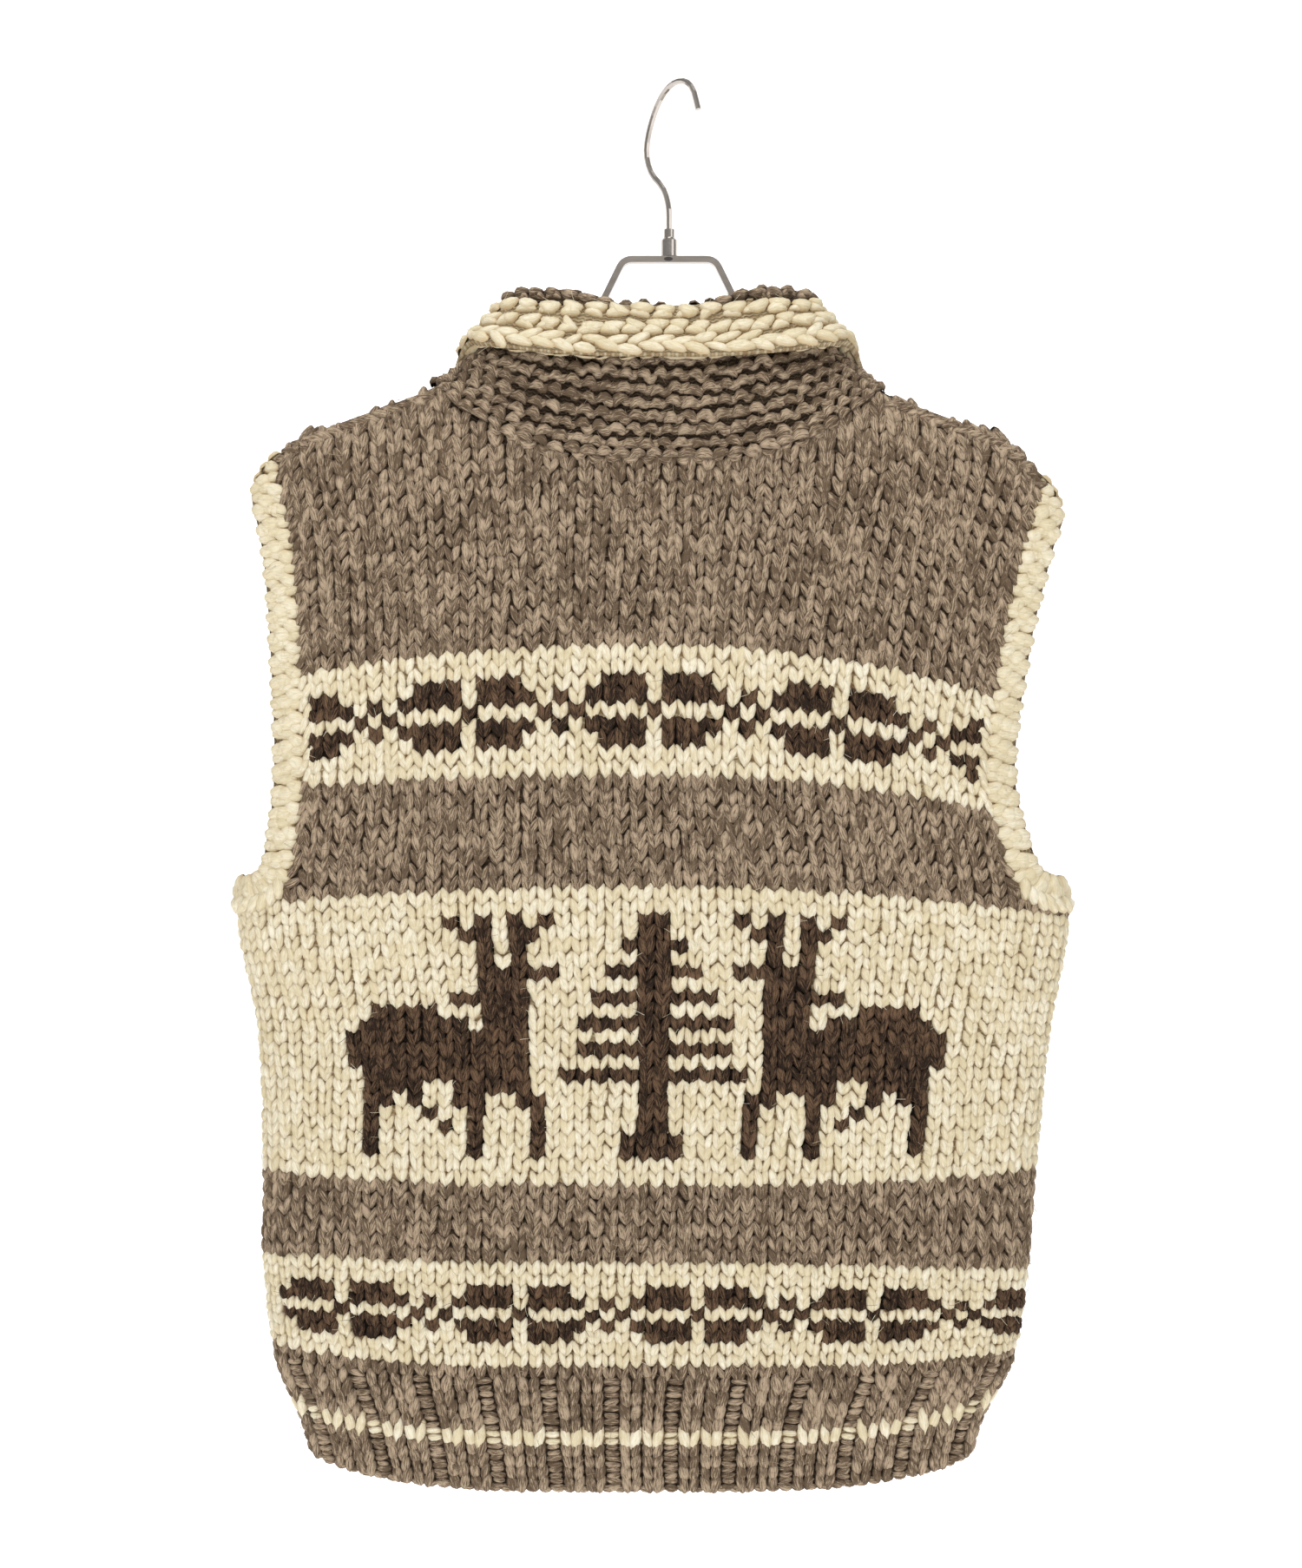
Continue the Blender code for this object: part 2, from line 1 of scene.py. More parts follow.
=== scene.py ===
# %% [markdown]
# # A hand-knitted vest on its hanger
# This file dresses the plain CAD model of a thick wool vest with a shawl collar. The CAD model gives
# every size and place. Here the smooth walls become knitted fabric: a backing cloth, and on it one
# short plump length of yarn for every visible half stitch. Lengths are in millimetres until a mesh
# is made, and `MM` turns them into Blender's metres.

# %% Load the CAD model
import math
from collections import namedtuple

import bmesh
import bpy
import numpy as np
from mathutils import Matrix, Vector


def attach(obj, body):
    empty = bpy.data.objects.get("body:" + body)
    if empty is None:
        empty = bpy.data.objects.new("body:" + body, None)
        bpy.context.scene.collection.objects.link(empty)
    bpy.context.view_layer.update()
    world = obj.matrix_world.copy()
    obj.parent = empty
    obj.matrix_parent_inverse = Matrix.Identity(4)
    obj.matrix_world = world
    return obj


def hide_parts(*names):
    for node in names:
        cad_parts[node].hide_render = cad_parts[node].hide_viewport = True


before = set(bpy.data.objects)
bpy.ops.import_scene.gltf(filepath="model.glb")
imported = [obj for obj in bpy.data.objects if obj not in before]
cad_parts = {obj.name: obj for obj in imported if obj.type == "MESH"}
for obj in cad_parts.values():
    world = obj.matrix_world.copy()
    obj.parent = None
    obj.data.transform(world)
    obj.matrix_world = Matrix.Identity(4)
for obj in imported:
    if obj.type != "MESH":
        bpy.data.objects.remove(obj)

MM = 0.001
RANDOM = np.random.default_rng(12)
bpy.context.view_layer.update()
wardrobe = bpy.data.collections.new("knitted_vest")
bpy.context.scene.collection.children.link(wardrobe)

# %% [markdown]
# ## The photographer's side
# The vest hangs in front of a plain white ground, and the camera looks straight at its back from
# about two metres. A long lens at a distance keeps the hanging cloth undistorted. The photo is
# 1500 by 1806 pixels, and one pixel is 0.55 mm at the middle of the garment.

# %% Camera
PIXEL = 0.55
PHOTO_SIZE = (1500, 1806)
CAMERA_DISTANCE = 2300.0
IMAGE_MIDDLE = (-19.0, -442.0)    # x and z of the picture's centre
GARMENT_MIDDLE_Y = 7.5
SENSOR_HEIGHT = 36.0

camera_data = bpy.data.cameras.new("camera")
camera_data.sensor_fit = "VERTICAL"
camera_data.sensor_height = SENSOR_HEIGHT
camera_data.lens = SENSOR_HEIGHT * CAMERA_DISTANCE / (PHOTO_SIZE[1] * PIXEL)
camera = bpy.data.objects.new("camera", camera_data)
camera.location = Vector((IMAGE_MIDDLE[0], GARMENT_MIDDLE_Y - CAMERA_DISTANCE, IMAGE_MIDDLE[1])) * MM
camera.rotation_euler = (math.radians(90), 0, 0)
wardrobe.objects.link(camera)
bpy.context.scene.camera = camera
print("lens", round(camera_data.lens, 1), "mm")

# %% [markdown]
# The ground is one pale sheet that runs along the floor and curves up behind the vest, as in a photo
# studio, so there is no horizon. Its wall stands almost four metres behind the vest, which leaves room
# for a camera that looks from that side. It glows a little, so it stays pure white however the vest is
# lit. Large soft lamps stand where a photographer puts them: a key light high on the left, a fill on
# the right and one above, so each stitch shades the one below it.

# %% Backdrop and lamps
Lamp = namedtuple("Lamp", "name size power place aim")
LAMPS = (
    Lamp("key", 1.2, 27, (-0.9, -1.8, 1.3), (0, 0, -0.45)),
    Lamp("fill", 1.6, 8, (1.6, -1.9, 0.2), (0, 0, -0.55)),
    Lamp("top", 1.0, 11, (0.1, -0.5, 1.3), (0, 0, -0.3)),
)
FLOOR_Z = -1.25
SWEEP_START, SWEEP_RADIUS, SWEEP_TOP = 2.6, 1.2, 4.4
SWEEP_HALF_WIDTH = 6.0
SWEEP_FRONT = -5.0
SWEEP_STEPS = 12
PAPER_WHITE, PAPER_GLOW, PAPER_ROUGHNESS = 0.93, 0.72, 0.95
DAYLIGHT = 0.32


def sweep_profile():
    """y and z of the backdrop from the front of the floor to the top of the wall."""
    points = [(SWEEP_FRONT, FLOOR_Z)]
    for step in range(SWEEP_STEPS + 1):
        turn = math.pi / 2 * step / SWEEP_STEPS
        points.append((SWEEP_START + SWEEP_RADIUS * math.sin(turn),
                       FLOOR_Z + SWEEP_RADIUS * (1 - math.cos(turn))))
    return points + [(SWEEP_START + SWEEP_RADIUS, SWEEP_TOP)]


def add_mesh(name, bm, materials):
    """Turn a bmesh into an object of the vest's collection."""
    mesh = bpy.data.meshes.new(name)
    bm.to_mesh(mesh)
    bm.free()
    mesh.shade_smooth()
    for material in materials:
        mesh.materials.append(material)
    piece = bpy.data.objects.new(name, mesh)
    wardrobe.objects.link(piece)
    return piece


profile = sweep_profile()
bm = bmesh.new()
bmesh.ops.create_grid(bm, x_segments=1, y_segments=len(profile) - 1, size=0.5)
for vert in bm.verts:
    y, z = profile[round((vert.co.y + 0.5) * (len(profile) - 1))]
    vert.co = Vector((vert.co.x * 2 * SWEEP_HALF_WIDTH, y, z))
backdrop_material = bpy.data.materials.new("backdrop_paper")
backdrop_material.use_nodes = True
paper = backdrop_material.node_tree.nodes["Principled BSDF"]
paper.inputs["Base Color"].default_value = (PAPER_WHITE, PAPER_WHITE, PAPER_WHITE, 1)
paper.inputs["Roughness"].default_value = PAPER_ROUGHNESS
paper.inputs["Emission Color"].default_value = (1, 1, 1, 1)
paper.inputs["Emission Strength"].default_value = PAPER_GLOW
backdrop = add_mesh("backdrop", bm, [backdrop_material])

for lamp in LAMPS:
    data = bpy.data.lights.new(lamp.name, "AREA")
    data.shape, data.size, data.energy = "DISK", lamp.size, lamp.power
    light = bpy.data.objects.new(lamp.name, data)
    light.location = lamp.place
    light.rotation_euler = (Vector(lamp.aim) - light.location).to_track_quat("-Z", "Y").to_euler()
    wardrobe.objects.link(light)

world = bpy.data.worlds.new("studio")
world.use_nodes = True
world.node_tree.nodes["Background"].inputs["Color"].default_value = (1.0, 1.0, 1.0, 1)
world.node_tree.nodes["Background"].inputs["Strength"].default_value = DAYLIGHT
bpy.context.scene.world = world
bpy.context.scene.view_settings.view_transform = "Standard"
print(len(LAMPS), "lamps and a backdrop")

# %% [markdown]
# ## Shader sums
# A procedural finish is a sum of noises and masks. Written node by node that is long, so a small
# class wraps one output socket and lets Python's `+`, `-` and `*` add the Math nodes. Any other kind
# of node comes from its `node` method.

# %% A socket that can be used in sums
class Signal:
    """An output socket of a material's node tree."""

    def __init__(self, tree, socket=None):
        self.tree, self.socket = tree, socket

    def node(self, kind, settings=None, inputs=None, output=0):
        """Add a node, set its settings and inputs, and return the output asked for."""
        node = self.tree.nodes.new(kind)
        for name, value in (settings or {}).items():
            setattr(node, name, value)
        for name, value in (inputs or {}).items():
            if isinstance(value, Signal):
                self.tree.links.new(value.socket, node.inputs[name])
            else:
                node.inputs[name].default_value = value
        return Signal(self.tree, node.outputs[output])

    def math(self, operation, first, second=0.0):
        return self.node("ShaderNodeMath", {"operation": operation}, {0: first, 1: second})

    def __add__(self, other):
        return self.math("ADD", self, other)

    def __sub__(self, other):
        return self.math("SUBTRACT", self, other)

    def __rsub__(self, other):
        return self.math("SUBTRACT", other, self)

    def __mul__(self, other):
        return self.math("MULTIPLY", self, other)

    __radd__ = __add__
    __rmul__ = __mul__

    def limit(self):
        """The same signal kept between 0 and 1."""
        return self.math("MAXIMUM", self.math("MINIMUM", self, 1.0), 0.0)

    def noise(self, scale, detail=3.0, stretch=(1, 1, 1)):
        """Noise of about scale features to a unit of this vector, kept near 0 to 1."""
        moved = self.node("ShaderNodeVectorMath", {"operation": "MULTIPLY"}, {0: self, 1: stretch})
        return self.node("ShaderNodeTexNoise", {"noise_dimensions": "3D"},
                         {"Vector": moved, "Scale": scale, "Detail": detail}, "Fac")

    def blend(self, low, high):
        """Colour between low and high, with this signal as the share of high."""
        return self.node("ShaderNodeMix", {"data_type": "RGBA"}, {0: self, 6: low, 7: high}, 2)


def start_material(name):
    """A new material and the two ends of its node tree: a blank signal and the Principled shader."""
    material = bpy.data.materials.new(name)
    material.use_nodes = True
    return material, Signal(material.node_tree), material.node_tree.nodes["Principled BSDF"]


print("shader sums ready")

# %% [markdown]
# ## Wool
# The yarn is thick, softly spun wool. The brown is heathered: dark and pale fibres carded together,
# so its colour changes along the strand and from stitch to stitch. The cream is undyed fleece, and
# the dark brown of the motifs is almost even. The edges of collar and armholes are a cream with less
# varied colour and a paler painted shade, so less dark shows between their bumps. All four share one
# recipe. `tone` is a random number for each length of yarn. `crown` is 1 on top of the strand and 0
# where it meets its neighbour, and the lower it is, the more the colour turns to the wool's painted
# shade. The UV map `strand` runs round and along the yarn in millimetres, so fibres follow the strand.

# %% Wool materials
# shade is each wool's painted shade colour, for the sides and points of grains and most of the backing cloth.
Wool = namedtuple("Wool", "name shade body light patch_gain fibre_gain")
WOOLS = (
    Wool("brown_wool", (0.034, 0.021, 0.012), (0.134, 0.090, 0.054), (0.51, 0.39, 0.27), 1.25, 1.7),
    Wool("cream_wool", (0.32, 0.205, 0.095), (0.77, 0.665, 0.44), (0.93, 0.87, 0.70), 1.1, 1.2),
    Wool("dark_wool", (0.006, 0.0035, 0.002), (0.020, 0.0105, 0.0055), (0.17, 0.10, 0.056), 1.1, 1.6),
)
# The edge wool has a paler painted shade colour and less varied colour, so its bumps show less dark between
# them.
EDGE_WOOL = Wool("cream_wool_paler_shade", (0.60, 0.44, 0.235), (0.75, 0.65, 0.43), (0.90, 0.83, 0.65), 0.8, 0.9)
FIBRE_STREAKS = (1.25, 0.17, 1.0)     # fibres are fine across the strand and long along it
PATCH_SCALE, FUZZ_SCALE = 95.0, 1500.0
YARN_MIX = 0.38               # share of the light colour before the noises change it
PATCH_SHARE, TONE_SHARE, FIBRE_SHARE_OF_MIX, FUZZ_SHARE = 1.4, 0.7, 2.6, 0.5
# How far the painted shade reaches in from a grain's sides, and how much the fibres fray its edge.
CROWN_LIGHT, CROWN_FRAY = 1.12, 0.45
WOOL_BUMP, WOOL_BUMP_DEPTH = 0.8, 0.0014


def wool_material(wool):
    material, blank, shader = start_material(wool.name)
    place = blank.node("ShaderNodeTexCoord", output="Object")
    strand = blank.node("ShaderNodeUVMap", {"uv_map": "strand"})
    tone = blank.node("ShaderNodeAttribute", {"attribute_name": "tone"}, output="Fac")
    crown = blank.node("ShaderNodeAttribute", {"attribute_name": "crown"}, output="Fac")
    patches = place.noise(PATCH_SCALE, 4.0)
    fibres = strand.noise(1.0, 2.0, FIBRE_STREAKS)
    fuzz = place.noise(FUZZ_SCALE, 2.0)
    mix = (patches - 0.5) * (PATCH_SHARE * wool.patch_gain) \
        + (tone - 0.5) * (TONE_SHARE * wool.patch_gain) \
        + (fibres - 0.5) * (FIBRE_SHARE_OF_MIX * wool.fibre_gain) \
        + (fuzz - 0.5) * (FUZZ_SHARE * wool.fibre_gain) + YARN_MIX
    yarn = mix.limit().blend((*wool.body, 1), (*wool.light, 1))
    # Painted shade: where crown is low, between strands and at their points, the colour falls to the wool's
    # shade colour.
    unshaded_share = (crown * CROWN_LIGHT + (fibres - 0.5) * CROWN_FRAY).limit()
    colour = unshaded_share.blend((*wool.shade, 1), yarn)
    height = fibres * 0.55 + fuzz * 0.45
    bump = blank.node("ShaderNodeBump", None,
                      {"Height": height, "Strength": WOOL_BUMP, "Distance": WOOL_BUMP_DEPTH}, "Normal")
    roughness = 0.80 + fibres * 0.2
    for name, signal in (("Base Color", colour), ("Normal", bump), ("Roughness", roughness)):
        material.node_tree.links.new(signal.socket, shader.inputs[name])
    shader.inputs["Specular IOR Level"].default_value = 0.25
    shader.inputs["Sheen Weight"].default_value = 0.12
    shader.inputs["Sheen Roughness"].default_value = 0.6
    shader.inputs["Sheen Tint"].default_value = (*wool.light, 1)
    return material


BROWN, CREAM, DARK = range(3)
wool_materials = [wool_material(wool) for wool in WOOLS]
edge_material = wool_material(EDGE_WOOL)
print("wools:", ", ".join(material.name for material in [*wool_materials, edge_material]))

# %% [markdown]
# ## The hanging body
# The stitches need the surface of the CAD body, so its tables are repeated here. `wall` gives a point
# of the cloth from the face (-1 is the back), the share of the way across (-1 at the left side seam,
# 1 at the right one) and the height. It takes whole arrays at once, because there are thousands of
# stitches.

# %% Body sizes and tables
WALL = 6.0
SEAM_GAP = 0.3
MID_Y = 7.5
SECTION_POWER = 2.6
SECTION_SAMPLES = 800
SHOULDER_ROLL = 30.0
HALF_COLUMNS, NOTCH_COLUMN, ARMHOLE_COLUMN, NECK_COLUMN = 18, 17, 15, 10
HALF_ARC = 262.0
UNDERARM_RADIUS = (NOTCH_COLUMN - ARMHOLE_COLUMN) / HALF_COLUMNS * HALF_ARC
UNDERARM_Z = -518.0
NECK_POINT_Z, BACK_NECK_Z, FRONT_NECK_Z = -188.0, -238.0, -389.0
BACK_NECK_BEND, FRONT_NECK_BEND = 3, 0.95
SHOULDER_CENTRE, NECK_HALF = -19.0, 136.0
SHOULDER_SLOPE, NECK_SLOPE = 0.36, 0.12
TIP_START, TIP_REACH, TIP_DROP = 216.0, 46.0, 34.0
RIDGE_PASSES = 14

Level = namedtuple("Level", "z half_width centre half_depth")
LEVELS = (
    Level(-892, 203, -24, 26), Level(-846, 214, -25, 32), Level(-804, 233, -23, 36),
    Level(-741, 242, -22, 38), Level(-690, 244, -20, 39), Level(-600, 250, -17, 39),
    Level(-518, 263, -18, 38), Level(-440, 249, -23, 36), Level(-358, 255, -19.5, 35),
    Level(-297, 265, -15, 33), Level(-240, 280, -12, 30), Level(-180, 281, -14, 29),
)
Fold = namedtuple("Fold", "face across spread z length depth")
FOLDS = (
    Fold(-1, -0.55, 0.16, -790, 90, 3.0), Fold(-1, 0.62, 0.14, -770, 110, 3.0),
    Fold(-1, 0.10, 0.20, -600, 150, 2.0), Fold(-1, -0.50, 0.14, -430, 90, 2.0),
    Fold(-1, 0.52, 0.15, -420, 100, 2.5), Fold(1, -0.45, 0.18, -760, 120, 3.0),
    Fold(1, 0.50, 0.15, -700, 130, 3.0), Fold(1, 0.05, 0.14, -560, 110, 2.0),
)


def glide(rows, key, column):
    """Values of a table's column at the keys, on a smooth curve through the rows."""
    keys = np.array([row[0] for row in rows], float)
    values = np.array([getattr(row, column) for row in rows], float)
    index = np.arange(len(rows))
    low, high = np.maximum(index - 1, 0), np.minimum(index + 1, len(rows) - 1)
    slope = (values[high] - values[low]) / (keys[high] - keys[low])
    key = np.clip(key, keys[0], keys[-1])
    i = np.clip(np.searchsorted(keys, key, side="right") - 1, 0, len(rows) - 2)
    span = keys[i + 1] - keys[i]
    t = (key - keys[i]) / span
    return ((2 * t**3 - 3 * t**2 + 1) * values[i] + (t**3 - 2 * t**2 + t) * span * slope[i]
            + (3 * t**2 - 2 * t**3) * values[i + 1] + (t**3 - t**2) * span * slope[i + 1])


def even_section():
    """Even spacing round a quarter of a level section: fractions of its arc, and the x share."""
    chest = next(row for row in LEVELS if row.z == UNDERARM_Z)
    angle = np.linspace(math.pi / 2, 0, SECTION_SAMPLES)
    x = np.clip(np.cos(angle), 0, 1) ** (2 / SECTION_POWER)
    y = np.sin(angle) ** (2 / SECTION_POWER)
    run = np.hypot(np.diff(x) * chest.half_width, np.diff(y) * chest.half_depth)
    arc = np.concatenate(([0], np.cumsum(run)))
    return arc / arc[-1], x


ARC_SHARE, X_SHARE = even_section()


def ridge_height(x):
    """Height of the shoulder line at x."""
    away = np.abs(x - SHOULDER_CENTRE)
    tip = np.maximum(0.0, (away - TIP_START) / TIP_REACH)
    shoulder = NECK_POINT_Z - SHOULDER_SLOPE * (away - NECK_HALF) - TIP_DROP * tip**2
    return np.where(away < NECK_HALF, NECK_POINT_Z + NECK_SLOPE * (NECK_HALF - away), shoulder)


def share_of(across):
    return np.interp(np.abs(across), ARC_SHARE, X_SHARE)


def across_x(across, z):
    return glide(LEVELS, z, "centre") + glide(LEVELS, z, "half_width") * np.sign(across) * share_of(across)


def ridge_at(across):
    """Height at which a column reaches the shoulder line."""
    z = np.full(np.shape(across), NECK_POINT_Z)
    for _ in range(RIDGE_PASSES):
        z = ridge_height(across_x(across, z))
    return z


def swell(face, across, z):
    """How far the soft folds push the cloth out."""
    total = 0.0
    for fold in FOLDS:
        near = np.exp(-((across - fold.across) / fold.spread) ** 2 - ((z - fold.z) / fold.length) ** 2)
        total = total + (face == fold.face) * fold.depth * (1 - across**2) * near
    return total


def wall(face, across, z, grow=0.0):
    """Points of the cloth, shape (..., 3); grow moves them outwards from the outer face."""
    face, across, z = (np.asarray(value, float) for value in (face, across, z))
    share = share_of(across)
    outer_x = across_x(across, z)
    roll = np.maximum(0.0, 1 - np.maximum(0.0, ridge_height(outer_x) - z) / SHOULDER_ROLL)
    flat = (1 - np.minimum(share, 1) ** SECTION_POWER) ** (1 / SECTION_POWER) * np.sqrt(1 - roll**2)
    depth = glide(LEVELS, z, "half_depth") + swell(face, across, z) + grow
    x = outer_x + np.sign(across) * share * grow
    y = MID_Y + face * (SEAM_GAP / 2 + depth * flat)
    return np.stack(np.broadcast_arrays(x, y, z + grow * roll), axis=-1)


def armhole_edge(z):
    """Across value at which the body ends above the underarm."""
    rise = np.clip(z - UNDERARM_Z, 0.0, UNDERARM_RADIUS)
    inset = UNDERARM_RADIUS - np.sqrt(UNDERARM_RADIUS**2 - (UNDERARM_RADIUS - rise) ** 2)
    return ARMHOLE_COLUMN / HALF_COLUMNS + inset / HALF_ARC


def top_height(face, across):
    """Height at which the cloth ends: on the shoulder line or on the neckline."""
    column = np.abs(across) * HALF_COLUMNS * NOTCH_COLUMN / ARMHOLE_COLUMN
    share = np.clip(column / NECK_COLUMN, 0, 1)
    back = BACK_NECK_Z + (NECK_POINT_Z - BACK_NECK_Z) * share**BACK_NECK_BEND
    front = NECK_POINT_Z + (FRONT_NECK_Z - NECK_POINT_Z) * (1 - share) ** FRONT_NECK_BEND
    return np.where(column >= NECK_COLUMN, ridge_at(across), np.where(np.asarray(face) < 0, back, front))


sample = wall(-1, 0.0, -600.0)
print("middle of the back at the waist:", np.round(sample, 1), "mm")

# %% [markdown]
# ## A length of yarn
# In stocking stitch each loop shows as a V of two plump legs, like two grains of wheat side by side.
# Modelling the whole path of the yarn through thousands of loops would be far too heavy, and a texture
# would look flat at the edges. So one half tube, pointed at both ends, is made from a small bmesh grid,
# and copies of it are laid in rows. The same grain, turned on its side, is a purl or garter bump.

# %% The grain of yarn
GRAIN_AROUND, GRAIN_ALONG = 4, 5
GRAIN_WRAP = math.radians(104)        # the half tube goes a little past its own sides
GRAIN_POINTEDNESS, GRAIN_FULLNESS = 2.3, 0.62
# The crown numbers set where the wools' painted shade falls on a grain: full colour on its top, shade towards
# its sides and points.
CROWN_EDGE = 0.25                     # of full light, at the sides of a grain
CROWN_END = 1.4                       # how soon the light comes back from the points

grain_mesh = bmesh.new()
bmesh.ops.create_grid(grain_mesh, x_segments=GRAIN_AROUND, y_segments=GRAIN_ALONG, size=1.0)
GRAIN_FACES = np.array([[vert.index for vert in face.verts] for face in grain_mesh.faces])
grain_flat = np.array([vert.co[:] for vert in grain_mesh.verts])
grain_mesh.free()
grain_turn = grain_flat[:, 0] * GRAIN_WRAP
grain_run = np.sin(grain_flat[:, 1] * math.pi / 2)      # stations closer together near the points
grain_swell = np.maximum(1 - np.abs(grain_run) ** GRAIN_POINTEDNESS, 0.0) ** GRAIN_FULLNESS
GRAIN_SIDE = np.sin(grain_turn) * grain_swell
GRAIN_RISE = np.cos(grain_turn) * grain_swell
GRAIN_CROWN = (np.clip(CROWN_EDGE + (1 - CROWN_EDGE) * np.cos(grain_turn), 0, 1)
               * np.clip(grain_swell * CROWN_END, 0, 1))
print("one grain:", len(GRAIN_FACES), "faces,", len(grain_flat), "points")

# %% [markdown]
# `Grains` gathers any number of grains and builds them as one mesh. Each has a place, a local set of
# axes on the cloth, a half width, a half length and a height, a lean in the plane of the cloth and a
# bend that curls it like a petal. Numpy works all of them out at once, and `yarn_mesh` writes the
# object, with two UV maps: `strand` for the fibres, and `OFBake`, a plain grid with one cell to a
# grain, for baking.

# %% Laying grains
laid = {}                     # the numbers of all grains, by the name of their material
STRAND_SHIFT = 400.0          # mm, so no two grains show the same fibres
BAKE_MARGIN = 0.08            # of a grain's cell in the baking map
STRAND_ROUND = 1.6            # how far the fibres' map goes round a grain, in half widths


def yarn_mesh(name, place, quads, flat, strand, crown, material):
    """An object of many copies of one small sheet. place is (copies, points, 3), quads and flat are the
    sheet's faces and its points in a square from -1 to 1, strand runs round and along the yarn."""
    count, points = place.shape[:2]
    faces = (quads[None] + points * np.arange(count)[:, None, None]).reshape(-1)
    mesh = bpy.data.meshes.new(name)
    mesh.vertices.add(count * points)
    mesh.vertices.foreach_set("co", (place * MM).astype(np.float32).reshape(-1))
    mesh.loops.add(len(faces))
    mesh.loops.foreach_set("vertex_index", faces.astype(np.int32))
    mesh.polygons.add(len(faces) // 4)
    mesh.polygons.foreach_set("loop_start", np.arange(0, len(faces), 4, dtype=np.int32))
    mesh.update(calc_edges=True)
    tone = np.repeat(RANDOM.random(count), points)
    # crown, stored as an attribute, is the mask of the painted shade in the wool materials.
    for label, values in (("tone", tone), ("crown", np.tile(crown, count))):
        mesh.attributes.new(label, "FLOAT", "POINT").data.foreach_set("value", values.astype(np.float32))
    strand = (strand + RANDOM.random((count, 1, 2)) * STRAND_SHIFT).reshape(-1, 2)
    cells = math.ceil(math.sqrt(count))
    corner = np.stack([np.arange(count) % cells, np.arange(count) // cells], axis=1)
    inside = BAKE_MARGIN + (1 - 2 * BAKE_MARGIN) * (flat + 1) / 2
    bake = ((corner[:, None, :] + inside) / cells).reshape(-1, 2)
    for label, values in (("strand", strand), ("OFBake", bake)):
        mesh.uv_layers.new(name=label).data.foreach_set("uv", values[faces].astype(np.float32).reshape(-1))
    mesh.materials.append(material)
    mesh.shade_smooth()
    mesh.validate()
    piece = bpy.data.objects.new(name, mesh)
    wardrobe.objects.link(piece)
    print(name, count, "copies,", 2 * count * len(quads), "triangles")
    return piece


class Grains:
    """Grains of yarn gathered for one mesh."""

    def __init__(self):
        self.rows = []

    def add(self, axes, half_width, half_length, height, lean=0.0, bend=0.0, lift=0.0):
        """axes is (spot, right, up, out), each of shape (n, 3); the rest are numbers or arrays of n."""
        count = len(axes[0])
        sizes = [np.broadcast_to(np.asarray(value, float), count)
                 for value in (half_width, half_length, height, lean, bend, lift)]
        self.rows.append(np.concatenate([*axes, np.stack(sizes, axis=1)], axis=1))

    def build(self, name, material):
        rows = np.concatenate(self.rows)
        laid.setdefault(material.name, []).append(rows)
        spot, right, up, out = (rows[:, None, 3 * n:3 * n + 3] for n in range(4))
        half_width, half_length, height, lean, bend, lift = (rows[:, None, 12 + n] for n in range(6))
        side = GRAIN_SIDE * half_width + bend * (1 - grain_run**2)
        run = grain_run * half_length
        flat_x = side * np.cos(lean) + run * np.sin(lean)
        flat_y = run * np.cos(lean) - side * np.sin(lean)
        rise = lift + GRAIN_RISE * height
        place = spot + right * flat_x[..., None] + up * flat_y[..., None] + out * rise[..., None]
        strand = np.stack([grain_flat[:, 0] * STRAND_ROUND * half_width, run], axis=-1)
        return yarn_mesh(name, place, GRAIN_FACES, grain_flat[:, :2], strand, GRAIN_CROWN, material)


def unit(vectors):
    return vectors / np.maximum(np.linalg.norm(vectors, axis=-1, keepdims=True), 1e-9)


STEP_ACROSS, STEP_Z = 0.004, 1.5


def cloth_axes(face, across, z, grow=0.0):
    """Axes on the body's cloth, and how many mm one unit of across and one mm of height cover there."""
    low_a, high_a = np.maximum(across - STEP_ACROSS, -1), np.minimum(across + STEP_ACROSS, 1)
    wide = (wall(face, high_a, z, grow) - wall(face, low_a, z, grow)) / (high_a - low_a)[..., None]
    tall = (wall(face, across, z + STEP_Z, grow) - wall(face, across, z - STEP_Z, grow)) / (2 * STEP_Z)
    face = np.asarray(face, float)[..., None]
    right = unit(wide) * -face
    out = unit(np.cross(right, unit(tall)))
    up = np.cross(out, right)
    spread, climb = np.linalg.norm(wide, axis=-1), np.linalg.norm(tall, axis=-1)
    return (wall(face[..., 0], across, z, grow), right, up, out), spread, climb


print("grains can be laid on the cloth")

# %% [markdown]
# ## Courses
# A course is one row of knitting. On the hanging vest the courses aren't level: they bow up in the
# middle of the back and sag at the sides, and the hem's corners lift. The table gives the height of
# some courses at the left seam, the centre and the right seam, and every other course lies between.

# %% Course heights
Course = namedtuple("Course", "row left centre right power")
COURSES = (
    Course(0, -862, -884, -862, 4.0),
    Course(4, -836, -855, -831, 4.0),
    Course(5, -828, -847, -823, 4.0),
    Course(10, -793, -805.5, -798, 4.0),
    Course(19, -737, -740.5, -748, 2.0),
    Course(25, -684, -692, -684, 3.0),
    Course(48, -519, -506, -527, 2.0),
    Course(56, -447, -436.5, -468, 2.0),
    Course(65, -381, -355, -402, 2.0),
    Course(88, -186, -160, -207, 2.0),
)
RIB_ROWS = 9
TOP_ROW = 88
BODY_COLUMNS = 54
HALF_BODY = BODY_COLUMNS // 2


def course_height(row, across):
    """Height of a course, counted from the cast-on edge, at a place across the body."""
    left, centre, right, power = (glide(COURSES, row, name) for name in ("left", "centre", "right", "power"))
    side = np.where(across < 0, left, right)
    return centre + (side - centre) * np.abs(across) ** power


print("courses at the centre:", [round(float(course_height(row, 0.0))) for row in (0, 10, 25, 48, 65)])
